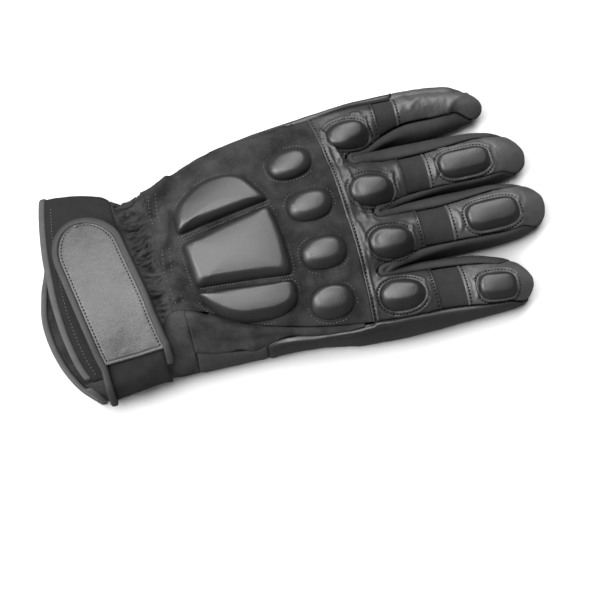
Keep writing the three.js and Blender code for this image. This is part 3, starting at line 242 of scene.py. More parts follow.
LEATHER_CREASES = table("x0 y0 x1 y1 bow width height", [
    (26.5, 47, 33, 22, 1.5, 0.8, 1.125), (33, 24, 34.5, 5, 1, 0.8, 1.05),
    (34.5, 6, 37.5, -6, -0.6, 0.7, 0.9), (33, 24, 33, 31, 0, 1.2, 0.75),
    (31, -4, 33, -27, 1.2, 0.8, 0.9), (31, -27, 30.5, -44, -0.8, 0.7, 0.675),
    (53, 30, 51, 47, 1.6, 0.7, 1.05), (55, 33, 52.8, 50, 1.6, 0.55, -0.6),
    (56, 2, 55.8, 18, 1.2, 0.7, 0.975), (57.6, 1, 57.4, 17, 1.2, 0.5, -0.6),
    (58, -26, 58, -10, 1.2, 0.7, 0.975), (57, -51, 56.5, -36, 1.2, 0.6, 0.75),
    (44, 51, 50, 50, 1, 0.7, 0.75), (60, 4, 59.7, 24, 0.6, 0.5, 0.6),
])
FINGER_CREASES = table("x0 y0 x1 y1 bow width height", [
    (76, 8.5, 75.6, 23, -1.4, 0.7, 0.91), (78.4, 9, 78, 22.4, -1.6, 0.5, -0.63),
    (108, 9, 107.4, 22, 1.6, 0.9, 0.84), (111, 8, 110, 23, 2.0, 0.6, -0.7),
    (80.5, -20, 80.2, -7, -1.4, 0.7, 0.91), (82.6, -20, 82.3, -7, -1.5, 0.5, -0.63),
    (114, -20, 113.6, -8, 1.4, 0.9, 0.77), (117, -18, 116.4, -7, 1.6, 0.6, -0.63),
    (78.5, -54, 78.8, -42, -1.2, 0.6, 0.84), (80.2, -54, 80.6, -42, -1.2, 0.45, -0.56),
    (102, -54, 102.4, -43, 1.2, 0.7, 0.7), (73, 47, 89, 57, 2, 1.7, 0.49),
    (81, 43, 99, 50, -2, 1.9, 0.56), (92, 43, 105, 52, 1.5, 1.2, 0.49),
    (69, 54, 83, 60, 1, 1.2, 0.42),
])
# Raised channels of the suede, each between two of the large pads
CHANNELS = table("x0 y0 x1 y1 bow width height", [
    (-52.5, 7.0, -4.5, 13.4, 0, 1.5, 1.5), (-51.5, -19.0, -3.0, -24.9, 0, 1.5, 1.5),
])

# Skins: the values of the group "Grained skin"
SKIN_SOCKETS = ("Patch scale", "Grain scale", "Grain height", "Cells", "Roughness",
                "Roughness spread")
SKINS = {
    "leather": (55.0, 1200.0, 0.2, 0.6, 0.42, 0.16),
    "palm": (55.0, 1200.0, 0.2, 0.6, 0.40, 0.16),
    "tip": (75.0, 1200.0, 0.22, 0.6, 0.44, 0.2),
    "pad": (45.0, 1500.0, 0.26, 0.3, 0.42, 0.06),
    "suede": (70.0, 2200.0, 0.5, 0.0, 0.95, 0.02),
    "gather": (70.0, 2200.0, 0.5, 0.0, 0.95, 0.02),
    "strap": (60.0, 1100.0, 0.3, 0.6, 0.40, 0.12),
}
# Cloths: the values of the group "Woven threads", threads to a millimetre first, and after them
# the shader's roughness
CLOTH_SOCKETS = ("Threads along", "Threads across", "Thread height")
CLOTHS = {
    "stretch": (1.6, 1.3, 0.35, 0.9),
    "web": (1.6, 1.3, 0.25, 0.8),
    "knit": (0.9, 1.6, 0.45, 0.95),
    "twill": (0.7, 0.9, 0.9, 0.7),
    "binding": (0.9, 2.2, 0.12, 0.55),
    "edging": (0.9, 2.2, 0.12, 0.5),
    "thread_light": (1.0, 1.0, 0.1, 0.7),
    # Near-black stitches: partly dark thread, partly painted shade of the stitch holes
    "dark_thread_hole_shade": (1.0, 1.0, 0.1, 0.6),
}
# How strongly each finish reflects
SHINE = {
    "leather": 0.8, "palm": 1.0, "tip": 0.8, "pad": 1.0, "suede": 0.1, "gather": 0.1, "strap": 0.65,
    "stretch": 0.15, "web": 0.3, "knit": 0.15, "twill": 0.15, "binding": 0.3, "edging": 0.35,
    "thread_light": 0.2, "dark_thread_hole_shade": 0.0,
}
# Share of a finish's colour that its dark tone has; the light tone is as far above the colour
DARK_TONE = 0.75
NAPPED_DARK_TONE = 0.4

# Floor, light and camera
FLOOR_FINISH = {"Roughness": 0.9, "Specular IOR Level": 0.1, "Base Color": (0.93, 0.93, 0.93, 1)}
WORLD_LIGHT = 0.11
SIDE_LAMP_ANGLE = 0.6
VIEW = {"azimuth": -15.0, "elevation": 74.0, "distance": 0.680, "lens": 85.0,
        "target": (-0.00373, -0.03256, 0.020)}


# Cross-sections


def mix(a, b, t):
    """The value a share t of the way from a to b."""
    return a + (b - a) * t


def smooth(v):
    """Cubic step from 0 to 1."""
    t = np.clip(v, 0.0, 1.0)
    return t * t * (3 - 2 * t)


def bump(v, width):
    """Gaussian bell of the given half width, 1 at v = 0."""
    return np.exp(-((v / width) ** 2))


def sample(rows, x):
    """Every column of a table at x, along a cubic Hermite curve whose slope at each row is the
    slope of the chord between its two neighbours. Beyond the ends the first or last row holds."""
    xs = rows["x"]
    at = np.clip(x, xs[0], xs[-1])
    a = np.searchsorted(xs[1:-1], at, side="left")
    b = a + 1
    before = np.maximum(a - 1, 0)
    after = np.minimum(a + 2, len(xs) - 1)
    span = xs[b] - xs[a]
    t = (at - xs[a]) / span
    out = {}
    for name, column in rows.items():
        slope_a = (column[b] - column[before]) / (xs[b] - xs[before]) * span
        slope_b = (column[after] - column[a]) / (xs[after] - xs[a]) * span
        rise = column[b] - column[a]
        out[name] = column[a] + t * (
            slope_a + t * (3 * rise - 2 * slope_a - slope_b + t * (slope_a + slope_b - 2 * rise))
        )
    out["x"] = x
    return out


def knuckle_seam_x(y):
    """Parabola that bows the knuckle seam back towards both edges of the hand."""
    return KNUCKLE_SEAM["x"] - KNUCKLE_SEAM["sag"] * (
        (y - KNUCKLE_SEAM["y"]) / KNUCKLE_SEAM["span"]) ** 2


def hand_top(row, y):
    """Height of the back of the hand: a line between its edges, plus an arch that falls off with
    a power of the distance from its middle, less a bell-shaped dip at each slot line that deepens
    towards the knuckles."""
    s = np.clip((y - row["outer_seam"]) / (row["thumb_seam"] - row["outer_seam"]), 0, 1)
    edge = mix(row["outer_top"], row["thumb_top"], s)
    arch = row["top"] - (row["outer_top"] + row["thumb_top"]) / 2
    dips = sum(bump(y - slot[1], KNUCKLE_DIP["width"]) for slot in SLOT_ENDS.values())
    near = smooth((row["x"] - KNUCKLE_DIP["start"]) / KNUCKLE_DIP["run"])
    return (edge + arch * (1 - np.abs(2 * s - 1) ** BACK_ARCH_POWER)
            - KNUCKLE_DIP["depth"] * near * dips)


def hand_sole(row, y):
    """Height of the palm: a smooth step from the outer edge up to the side with the thumb."""
    return mix(row["sole"], row["thumb_sole"], smooth((y - row["outer_side"] - 4) / 32))


class Section:
    """Closed cross-sections of the hand, or of one finger, at the places x: four arcs in turn,
    over the back, down the thumb-side flank, across the palm and up the outer flank."""

    def __init__(self, finger, x):
        self.finger = finger
        self.x = np.asarray(x, float)
        self.hand = sample(HAND, self.x)
        if finger:
            self.row = sample(finger["rows"], self.x)
            self.closed = 1 - smooth((self.x - finger["tip"][0] + 4 + FLANK_CLOSE) / FLANK_CLOSE)
        self.outer = self.flank("outer", 0.0)
        self.thumb = self.flank("thumb", 1.0)

    def root(self, s):
        """1 where the finger is still part of the hand, 0 a blend length past its slot."""
        slot_x = mix(self.finger["outer_slot"][0], self.finger["thumb_slot"][0], s)
        return 1 - smooth((self.x - slot_x) / ROOT_BLEND)

    def flank(self, side, s):
        """The three points that steer a flank: back seam, widest point and palm corner."""
        hand = self.hand
        sign = 1 if side == "outer" else -1
        if not self.finger:
            side_y = hand[side + "_side"]
            palm_y = side_y + sign * PALM_INSET
            return (
                (hand[side + "_seam"], hand[side + "_top"]),
                (side_y, hand[side + "_mid"]),
                (palm_y, hand_sole(hand, side_y) + PALM_LIFT),
            )
        row = self.row
        web = self.finger is not (LITTLE if side == "outer" else INDEX)
        slot = self.finger[side + "_slot"]
        joined = web & (self.x <= slot[0])
        y = np.where(joined, slot[1], row[side + "_seam"])
        side_y = np.where(joined, slot[1], row[side + "_side"])
        w = self.root(s)
        loose = (1 - w) if web else 1.0
        palm_y = side_y + sign * PALM_INSET * loose
        palm_z = mix(row["sole"], hand_sole(hand, palm_y), w) + PALM_LIFT * loose
        top_z = mix(row["seam"], hand_top(hand, y), w)
        root_mid = (top_z + palm_z) / 2 if web else hand[side + "_mid"]
        mid_z = mix(row["mid"], root_mid, w)
        return (
            (mix(side_y, y, self.closed), mix(mid_z, top_z, self.closed)),
            (side_y, mid_z),
            (mix(side_y, palm_y, self.closed), mix(mid_z, palm_z, self.closed)),
        )

    def back(self, s):
        """The back at the share s from the outer to the thumb seam."""
        y = mix(self.outer[0][0], self.thumb[0][0], s)
        if not self.finger:
            return y, hand_top(self.hand, y)
        low = mix(self.row["mid"], self.row["seam"], self.closed)
        own = low + (self.row["top"] - low) * (1 - np.abs(2 * s - 1) ** mix(2, 2.3, self.closed))
        return y, mix(own, hand_top(self.hand, y), self.root(s))

    def palm(self, s):
        """The palm at the share s from the thumb corner to the outer corner."""
        y = mix(self.thumb[2][0], self.outer[2][0], s)
        if not self.finger:
            return y, hand_sole(self.hand, y) + PALM_LIFT * np.abs(2 * s - 1) ** 9
        flat = mix(self.row["sole"], hand_sole(self.hand, y), self.root(1 - s))
        return y, mix(flat, mix(self.thumb[2][1], self.outer[2][1], s), np.abs(2 * s - 1) ** 6)

    def point(self, arc, t):
        """Place in y and z on an arc. A flank is two quarters of an ellipse that meet at its
        widest point, the first taking the share SIDE_SHARE of t."""
        if arc == BACK:
            return self.back(t)
        if arc == PALM:
            return self.palm(t)
        seam, side, low = self.thumb if arc == THUMB_SIDE else self.outer
        t = t if arc == THUMB_SIDE else 1 - t
        upper = np.clip(t / SIDE_SHARE, 0, 1) * np.pi / 2
        lower = np.clip((t - SIDE_SHARE) / (1 - SIDE_SHARE), 0, 1) * np.pi / 2
        first = t < SIDE_SHARE
        y = np.where(first, mix(seam[0], side[0], np.sin(upper)),
                     low[0] + (side[0] - low[0]) * np.cos(lower))
        z = np.where(first, side[1] + (seam[1] - side[1]) * np.cos(upper),
                     side[1] - (side[1] - low[1]) * np.sin(lower))
        return y, z

    def inset(self, arc, t, far, reach):
        """Share of the arc at which its distance from the place t, towards far, is reach."""
        y0, z0 = self.point(arc, np.full_like(self.x, t) if np.isscalar(t) else t)
        near = t + np.zeros_like(self.x)
        beyond = far + np.zeros_like(self.x)
        for _ in range(12):
            half = (near + beyond) / 2
            y, z = self.point(arc, half)
            short = np.hypot(y - y0, z - z0) < reach
            near = np.where(short, half, near)
            beyond = np.where(short, beyond, half)
        return beyond


def place(finger, x, y, z, lift=0.0):
    """Points in space. Near a fingertip a section shrinks towards the tip along a superellipse,
    and what would sink below the table lies flat on it."""
    if finger:
        tip, length = finger["tip"], finger["round"]
        start = tip[0] - length
        part = np.clip((x - start) / length, 0, 1)
        keep = (1 - part**TIP_SQUARENESS) ** (1 / TIP_SQUARENESS)
        y = mix(tip[1], y, keep)
        z = mix(tip[2], z, keep) + lift * part
        x = np.minimum(x, start) + part * length
    return np.stack([x + 0 * y, y, np.maximum(z, 0.0)], -1)


def back_height(x, y):
    """Height of the back of the glove at places in plan, read from whichever finger owns them."""
    x, y = np.broadcast_arrays(np.asarray(x, float), np.asarray(y, float))
    hand = Section(None, x)
    height = hand_top(hand.hand, y)
    for finger in FINGERS:
        sec = Section(finger, x)
        low, high = sec.outer[0][0], sec.thumb[0][0]
        s = np.clip((y - low) / np.maximum(high - low, 1e-6), 0, 1)
        mine = (x > 30) & (y >= low - 1.2) & (y <= high + 1.2)
        height = np.where(mine, sec.back(s)[1], height)
    return height


def line(value):
    """A line across the glove at one x."""
    return lambda y: value + 0 * y


def arc_grid(finger, arc, start, end, rows, columns, low=None, high=None, trims=(0, 0), lift=0):
    """A grid over one arc: rows run from the line start to the line end, columns from the share
    low to the share high of the arc, each trimmed by a length. Lines give x from y."""
    shares = np.linspace(0, 1, rows + 1) if np.isscalar(rows) else np.asarray(rows, float)
    u, v = np.meshgrid(shares, np.linspace(0, 1, columns + 1), indexing="ij")
    x = mix(start(0.0), end(0.0), u)
    for _ in range(4):
        sec = Section(finger, x)
        a = low(x) if low else np.zeros_like(x)
        b = high(x) if high else np.ones_like(x)
        middle = (a + b) / 2
        a = sec.inset(arc, a, middle, trims[0]) if trims[0] else a
        b = sec.inset(arc, b, middle, trims[1]) if trims[1] else b
        t = mix(a, b, v)
        y, z = sec.point(arc, t)
        x = mix(start(y), end(y), u)
    sec = Section(finger, x)
    y, z = sec.point(arc, t)
    return place(finger, x, y, z, lift)


# Relief


def ripple(x, y, size, seed):
    """Soft irregular waves between about -1 and 1: five sines in turned directions, each one
    bent by the one before."""
    total = np.zeros_like(x + y)
    bend = 0.0
    for k in range(5):
        angle = seed * 2.4 + k * 2.39996
        rate = 2 * np.pi / size * (1 + 0.41 * k)
        bend = np.sin((x * np.cos(angle) + y * np.sin(angle)) * rate + seed * 7.1 + 1.3 * bend)
        total = total + bend / (1 + 0.4 * k)
    return total / 3.0


def creased(x, y, rows):
    """Sum of ridges: each a bell across a parabola over its chord, faded in and out at its ends."""
    total = np.zeros_like(x + y)
    for x0, y0, x1, y1, bow, width, height in zip(*(rows[name] for name in rows)):
        dx, dy = x1 - x0, y1 - y0
        length = np.hypot(dx, dy)
        along = ((x - x0) * dx + (y - y0) * dy) / length**2
        across = ((y - y0) * dx - (x - x0) * dy) / length - bow * 4 * along * (1 - along)
        ends = smooth(along / 0.2) * smooth((1 - along) / 0.2)
        total = total + height * ends * bump(across, width)
    return total


def resample(points, count):
    """Evenly spaced points along a closed line."""
    closed = np.vstack([points, points[:1]])
    lengths = np.concatenate([[0], np.cumsum(np.linalg.norm(np.diff(closed, axis=0), axis=1))])
    at = np.linspace(0, lengths[-1], count, endpoint=False)
    return np.stack([np.interp(at, lengths, closed[:, i]) for i in (0, 1)], 1)


def corner_outline(corners, count):
    """Closed outline from corners: each is bridged by a parabola between the points that lie
    its cut length along its two sides."""
    c = np.stack([corners["x"], corners["y"]], 1)
    before, after = np.roll(c, 1, 0) - c, np.roll(c, -1, 0) - c
    cut = corners["cut"][:, None]
    start = c + before / np.linalg.norm(before, axis=1, keepdims=True) * cut
    end = c + after / np.linalg.norm(after, axis=1, keepdims=True) * cut
    t = np.linspace(0, 1, 12)[None, :, None]
    curve = (1 - t) ** 2 * start[:, None] + 2 * t * (1 - t) * c[:, None] + t**2 * end[:, None]
    return resample(curve.reshape(-1, 2), count)


def oval_outline(oval, count):
    """Superellipse with the axes of an oval pad, turned in plan about its middle."""
    a = np.linspace(0, 2 * np.pi, 360, endpoint=False)
    power = 2 / oval["power"]
    u = np.sign(np.cos(a)) * np.abs(np.cos(a)) ** power * oval["length"] / 2
    v = np.sign(np.sin(a)) * np.abs(np.sin(a)) ** power * oval["width"] / 2
    turn = np.radians(oval["turn"])
    c, s = np.cos(turn), np.sin(turn)
    return resample(np.stack([oval["x"] + u * c - v * s, oval["y"] + u * s + v * c], 1), count)


def outline_distance(x, y, outline):
    """Distance in plan from places to the nearest straight piece of a closed outline, negative
    inside it. Inside is where a ray towards +x crosses the outline an odd number of times."""
    a = outline
    b = np.roll(outline, -1, axis=0)
    px, py = x[:, None], y[:, None]
    dx, dy = b[:, 0] - a[:, 0], b[:, 1] - a[:, 1]
    t = np.clip(((px - a[:, 0]) * dx + (py - a[:, 1]) * dy) / (dx**2 + dy**2), 0, 1)
    gap = np.hypot(px - a[:, 0] - t * dx, py - a[:, 1] - t * dy).min(1)
    spans = (a[:, 1] > py) != (b[:, 1] > py)
    cross = px < a[:, 0] + (py - a[:, 1]) * dx / np.where(dy == 0, 1e-9, dy)
    inside = (spans & cross).sum(1) % 2 == 1
    return np.where(inside, -gap, gap)


OUTLINES = {name: corner_outline(rows, 150) for name, rows in BIG_PADS.items()}
OUTLINES.update({name: oval_outline(row, 96) for name, row in OVAL_PADS.items()})


def pad_wells(x, y, lip):
    """How the panel follows the pads: under a pad it sinks, just outside one it dips in a
    narrow groove, swells in a lip and dips again under the stitches."""
    flat_x, flat_y = x.ravel(), y.ravel()
    total = np.zeros_like(flat_x)
    for outline in OUTLINES.values():
        low, high = outline.min(0) - 5, outline.max(0) + 5
        near = np.flatnonzero((flat_x > low[0]) & (flat_x < high[0])
                              & (flat_y > low[1]) & (flat_y < high[1]))
        if not len(near):
            continue
        d = outline_distance(flat_x[near], flat_y[near], outline)
        under = np.where(d < 0, -0.8 * smooth(-d / 0.8), 0)
        ring = 0.9 * bump(d - 0.8, 0.4) - 0.8 * bump(d - 1.6, 0.35) + 0.7 * bump(d - 2.5, 0.6)
        total[near] += under - 0.35 * bump(d - 0.1, 0.3) + lip * ring
    return total.reshape(x.shape)


def soft_relief(x, y, d):
    """Soft cloth round the hand: folds and waves that run on from panel to panel, and edges that
    roll down into the seams."""
    waves = 0.5 * ripple(x, y, 26, 1) + 0.12 * ripple(x, y, 8, 2)
    return creased(x, y, SUEDE_FOLDS) + waves - 0.15 * bump(d, 0.5)


def side_relief(x, y, d):
    """Soft cloth of the outer flank, which stands up in a full roll beside the suede."""
    return soft_relief(x, y, d) + 1.1 * bump(d - 3.4, 2.0) - 0.5 * bump(d, 0.9)


def suede_relief(x, y, d):
    """Suede of the back: soft cloth with the raised channels between the large pads and the wells
    round all pads."""
    return soft_relief(x, y, d) + creased(x, y, CHANNELS) + pad_wells(x, y, 0.1)


def band_relief(x, y, d):
    """Leather over the knuckles: a piped ridge along the knuckle seam, a groove for the stitches
    beside it, creases, wells round the pads and a stitched hem at the finger ends."""
    q = x - knuckle_seam_x(y)
    seam = 0.9 * bump(q - 0.4, 0.5) - 0.4 * bump(q - 1.6, 0.4) + 0.5 * bump(q - 2.9, 0.7)
    waves = 0.22 * ripple(x, y, 14, 4) + 0.06 * ripple(x, y, 4, 5)
    hem = sum(
        (-0.3 * bump(x - f["stretch"] + 1.7, 0.4) + 0.25 * bump(x - f["stretch"] + 0.8, 0.5))
        * (np.abs(y - f["tip"][1]) < 16)
        for f in FINGERS
    )
    edge = -0.4 * bump(d, 0.5) * smooth((q - 1.5) / 2)
    return creased(x, y, LEATHER_CREASES) + seam + waves + hem + pad_wells(x, y, 0.5) + edge


def tip_relief(x, y, d):
    """Leather at the finger ends: wrinkles across the finger, wells round the pads and a
    stitched hem where the stretch cloth ends."""
    waves = 0.16 * ripple(x, y, 11, 7) + 0.07 * ripple(x, y * 0.6, 4.2, 8)
    hem = sum(
        (-0.3 * bump(x - f["end"] - 1.7, 0.4) + 0.25 * bump(x - f["end"] - 0.8, 0.5))
        * (np.abs(y - f["tip"][1]) < 16)
        for f in FINGERS
    )
    edge = -0.5 * bump(d, 0.7)
    return creased(x, y, FINGER_CREASES) + waves + hem + pad_wells(x, y, 0.5) + edge


def cloth_relief(x, y, d):
    """Cloth with soft waves, drawn in at its seams."""
    return 0.14 * ripple(x, y, 15, 9) - 0.5 * bump(d, 1.0)


def stretch_relief(x, y, d):
    """Stretch cloth set below the leather at its ends."""
    return -0.45 + 0.08 * ripple(x, y, 9, 11) - 0.3 * bump(d, 0.8)


def fourchette_relief(x, y, d):
    """Cloth between the fingers: it swells beside its seams, most near the finger roots."""
    swell = 0.3 * bump(d - 2.6, 2.0) * (1 - smooth((x - 60) / 30))
    return swell - 0.35 * bump(d, 0.7) + 0.1 * ripple(x, y, 13, 3)


def strap_relief(x, y, d):
    """Leather face of the strap: faint waves, a groove under its stitches and an edge that turns
    down."""
    waves = 0.12 * ripple(x, y, 16, 13) + 0.025 * ripple(x, y, 3.4, 6)
    return waves - 0.45 * bump(d - 1.5, 0.4) - 0.6 * bump(d, 0.5)


def palm_relief(x, y, d):
    """Palm leather: faint long waves, edges turned in at the seams, and on the outer flank a full
    roll beside the seam."""
    outer = smooth((-y - 40) / 6) * smooth((x + 22) / 14) * (1 - smooth((x - 30) / 24))
    roll = 2.0 * smooth(d / 1.1) * (1 - smooth((d - 2.0) / 3.0)) * (1 + 0.2 * ripple(x, y, 12, 2))
    plain = 0.4 * bump(d - 2.4, 1.5) - 0.6 * bump(d, 0.8)
    return 0.12 * ripple(x, y, 18, 12) + mix(plain, roll - 0.4, outer)


# Meshes


def quads(rows, columns, closed=False, skip=None):
    """Corner numbers of the faces of a grid; closed joins the last column to the first."""
    i, j = np.meshgrid(np.arange(rows - 1), np.arange(columns if closed else columns - 1),
                       indexing="ij")
    k = (j + 1) % columns
    faces = np.stack([i * columns + j, (i + 1) * columns + j, (i + 1) * columns + k,
                      i * columns + k], -1)
    return faces[~skip] if skip is not None else faces.reshape(-1, 4)


def edge_distance(grid, sides):
    """Length along a grid's lines to the nearest of the sides named: s and e for its first and
    last row, l and r for its first and last column."""
    d = np.full(grid.shape[:2], 1e3)
    for axis, (first, last) in enumerate((("s", "e"), ("l", "r"))):
        step = np.linalg.norm(np.diff(grid, axis=axis), axis=2)
        run = np.cumsum(np.insert(step, 0, 0, axis=axis), axis=axis)
        if first in sides:
            d = np.minimum(d, run)
        if last in sides:
            d = np.minimum(d, np.take(run, [-1], axis=axis) - run)
    return d


def grid_uv(grid):
    """Millimetres along a grid's middle column and across its middle row."""
    lengths = [
        np.concatenate([[0], np.cumsum(np.linalg.norm(np.diff(run, axis=0), axis=1))])
        for run in (grid[:, grid.shape[1] // 2], grid[grid.shape[0] // 2])
    ]
    return np.stack(np.meshgrid(*lengths, indexing="ij"), -1)


def vertex_normals(points, faces):
    """Unit normals at the vertices: the sum of the area vectors of the faces round each."""
    p = points[faces]
    area = np.cross(p[:, 2] - p[:, 0], p[:, 3] - p[:, 1])
    total = np.stack([
        np.bincount(faces.ravel(), np.repeat(area[:, i], 4), len(points)) for i in range(3)
    ], 1)
    return total / np.maximum(np.linalg.norm(total, axis=1, keepdims=True), 1e-12)


def weld(grids):
    """Joins grids of points: those in the same cell, a four-hundredth of a millimetre wide, become
    one vertex. Gives which old point stands for each vertex, and each old point's vertex."""
    keys = np.round(np.vstack([g.reshape(-1, 3) for g in grids]) * 400 + 0.137).astype(np.int64)
    _, first, index = np.unique(keys, axis=0, return_index=True, return_inverse=True)
    return first, index.ravel()


def make_object(name, points, faces, uv=None):
    """Writes points in millimetres and four-cornered faces to a mesh object. A corner that
    repeats the one before it is dropped, so that poles become triangles."""
    fresh = faces != np.roll(faces, 1, axis=1)
    whole = fresh.sum(1) >= 3
    faces, fresh = faces[whole], fresh[whole]
    starts = np.concatenate([[0], np.cumsum(fresh.sum(1))[:-1]])
    mesh = bpy.data.meshes.new(name)
    mesh.vertices.add(len(points))
    mesh.vertices.foreach_set("co", ((points - ORIGIN) * MM).astype(np.float32).ravel())
    mesh.loops.add(int(fresh.sum()))
    mesh.loops.foreach_set("vertex_index", faces[fresh].astype(np.int32))
    mesh.polygons.add(len(faces))
    mesh.polygons.foreach_set("loop_start", starts.astype(np.int32))
    if uv is not None:
        layer = mesh.uv_layers.new(name="Panel")
        layer.data.foreach_set("uv", uv[whole][fresh].astype(np.float32).ravel())
    mesh.polygons.foreach_set("use_smooth", np.ones(len(faces), bool))
    mesh.update(calc_edges=True)
    mesh.validate()
    obj = bpy.data.objects.new(name, mesh)
    bpy.context.scene.collection.objects.link(obj)
    return obj


def finish_piece(obj, finish, nodes):
    """Gives a piece its material, its body, and the solids it stands for."""
    obj.data.materials.append(material(finish))
    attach(obj, "root")
    if nodes:
        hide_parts(*nodes)


def panel(name, grids, sides, relief, finish, skips=None, thick=1.4):
    """A sewn wall from grids of points. The welded surface moves along its normals by the relief,
    a function of plan place and distance to the panel's edge, and then gets its thickness."""
    skips = skips or [None] * len(grids)
    offsets = np.cumsum([0] + [g.shape[0] * g.shape[1] for g in grids])
    faces = np.vstack([
        quads(g.shape[0], g.shape[1], skip=skip) + start
        for g, skip, start in zip(grids, skips, offsets)
    ])
    flat = np.vstack([g.reshape(-1, 3) for g in grids])
    gap = np.concatenate([edge_distance(g, side).ravel() for g, side in zip(grids, sides)])
    uv = np.vstack([grid_uv(g).reshape(-1, 2) for g in grids])
    first, index = weld(grids)
    points = flat[first]
    near = np.full(len(points), 1e3)
    np.minimum.at(near, index, gap)
    corners = index[faces]
    normals = vertex_normals(points, corners)
    points = points + normals * relief(points[:, 0], points[:, 1], near)[:, None]
    points[:, 2] = np.maximum(points[:, 2], 0.0)
    obj = make_object(name + "_panel", points, corners, uv[faces])
    wall = obj.modifiers.new("Wall", "SOLIDIFY")
    wall.thickness = thick * MM
    wall.offset = -1
    finish_piece(obj, finish, [name])


def rounded_profile(width, thickness, power=3.0, count=20):
    """Superellipse profile as points across and up, counter-clockwise."""
    a = np.linspace(0, 2 * np.pi, count, endpoint=False)
    return np.stack([
        np.sign(np.cos(a)) * np.abs(np.cos(a)) ** (2 / power) * width / 2,
        np.sign(np.sin(a)) * np.abs(np.sin(a)) ** (2 / power) * thickness / 2,
    ], 1)


def bar(name, path, wide, high, profile, finish, nodes=None, scale=1.0):
    """A profile carried along a path, with the axes wide and high at each stop, and its two ends
    closed by a ring drawn in to the middle. Where the sum of the tetrahedra from the origin to the
    faces is negative, the faces point inwards and are turned round."""
    ends = [path[:1], path[-1:]]
    size = (np.ones(len(path)) * scale)[:, None, None]
    rings = path[:, None] + size * (
        wide[:, None] * profile[None, :, :1] + high[:, None] * profile[None, :, 1:])
    caps = [np.repeat(end[:, None], len(profile), 1) for end in ends]
    rings = np.concatenate([caps[0], rings, caps[1]])
    count = len(profile)
    faces = quads(len(rings), count, closed=True)
    lengths = np.concatenate([[0], np.cumsum(np.linalg.norm(np.diff(path, axis=0), axis=1))])
    along = np.concatenate([lengths[:1], lengths, lengths[-1:]])
    girth = np.concatenate([[0], np.cumsum(np.linalg.norm(np.diff(profile, axis=0), axis=1))])
    uv = np.stack(np.meshgrid(along, girth, indexing="ij"), -1).reshape(-1, 2)
    flat = rings.reshape(-1, 3)
    corner = [flat[faces[:, i]] for i in range(4)]
    volume = sum((corner[0] * np.cross(corner[i], corner[i + 1])).sum() for i in (1, 2))
    if volume < 0:
        faces = faces[:, ::-1]
    first, index = weld([rings])
    obj = make_object(name + "_tape", flat[first], index[faces], uv[faces])
    finish_piece(obj, finish, [name] if nodes is None else nodes)


# Materials


def node_group(name, inputs, outputs):
    """A shader node group with named sockets, and whether it was made just now."""
    tree = bpy.data.node_groups.get(name)
    if tree:
        return tree, False
    tree = bpy.data.node_groups.new(name, "ShaderNodeTree")
    for socket, kind, default in inputs:
        made = tree.interface.new_socket(name=socket, in_out="INPUT", socket_type=kind)
        made.default_value = default
    for socket, kind in outputs:
        tree.interface.new_socket(name=socket, in_out="OUTPUT", socket_type=kind)
    return tree, True


def node(tree, kind, links=None, **settings):
    """Adds a node, sets its properties and input values, and links its inputs."""
    made = tree.nodes.new(kind)
    for key, value in settings.items():
        setattr(made, key, value)
    for socket, source in (links or {}).items():
        target = made.inputs[socket]
        if isinstance(source, bpy.types.NodeSocket):
            tree.links.new(source, target)
        else:
            target.default_value = source
    return made


def math_node(tree, operation, a, b=0.0):
    """The output of a Math node."""
    return node(tree, "ShaderNodeMath", {0: a, 1: b}, operation=operation).outputs[0]


def blotch_group():
    """Surface of skins: a colour that drifts between two tones over large and small noise, and a
    normal from fine noise added to cell walls."""
    tree, fresh = node_group(
        "Grained skin",
        [("Dark", "NodeSocketColor", (0.02, 0.02, 0.02, 1)),
         ("Light", "NodeSocketColor", (0.05, 0.05, 0.05, 1)),
         ("Patch scale", "NodeSocketFloat", 60.0), ("Grain scale", "NodeSocketFloat", 1500.0),
         ("Grain height", "NodeSocketFloat", 0.2), ("Cells", "NodeSocketFloat", 0.5),
         ("Roughness", "NodeSocketFloat", 0.5), ("Roughness spread", "NodeSocketFloat", 0.1)],
        [("Color", "NodeSocketColor"), ("Roughness", "NodeSocketFloat"),
         ("Normal", "NodeSocketVector")],
    )
    if not fresh:
        return tree
    given = node(tree, "NodeGroupInput").outputs
    made = node(tree, "NodeGroupOutput").inputs
    at = node(tree, "ShaderNodeTexCoord").outputs["Object"]
    patches = node(tree, "ShaderNodeTexNoise", {
        "Vector": at, "Scale": given["Patch scale"], "Detail": 5.0, "Roughness": 0.6}).outputs["Fac"]
    grain = node(tree, "ShaderNodeTexNoise", {
        "Vector": at, "Scale": given["Grain scale"], "Detail": 3.0}).outputs["Fac"]
    cells = node(tree, "ShaderNodeTexVoronoi", {
        "Vector": at, "Scale": given["Grain scale"]}, feature="DISTANCE_TO_EDGE").outputs["Distance"]
    walls = math_node(tree, "MULTIPLY", math_node(tree, "MINIMUM", cells, 0.2), given["Cells"])
    height = math_node(tree, "ADD", grain, math_node(tree, "MULTIPLY", walls, 3.0))
    bumped = node(tree, "ShaderNodeBump", {
        "Strength": given["Grain height"], "Distance": 0.0004, "Height": height}).outputs["Normal"]
    spread = math_node(tree, "ADD", math_node(tree, "MULTIPLY", patches, 0.65),
                       math_node(tree, "MULTIPLY", grain, 0.35))
    steep = node(tree, "ShaderNodeMapRange", {
        "Value": spread, "From Min": 0.35, "From Max": 0.65}).outputs["Result"]
    tone = node(tree, "ShaderNodeMix", {0: steep, 6: given["Dark"], 7: given["Light"]},
                data_type="RGBA")
    rough = math_node(tree, "MULTIPLY", math_node(tree, "SUBTRACT", patches, 0.5),
                      given["Roughness spread"])
    tree.links.new(tone.outputs[2], made["Color"])
    tree.links.new(math_node(tree, "ADD", given["Roughness"], rough), made["Roughness"])
    tree.links.new(bumped, made["Normal"])
    return tree


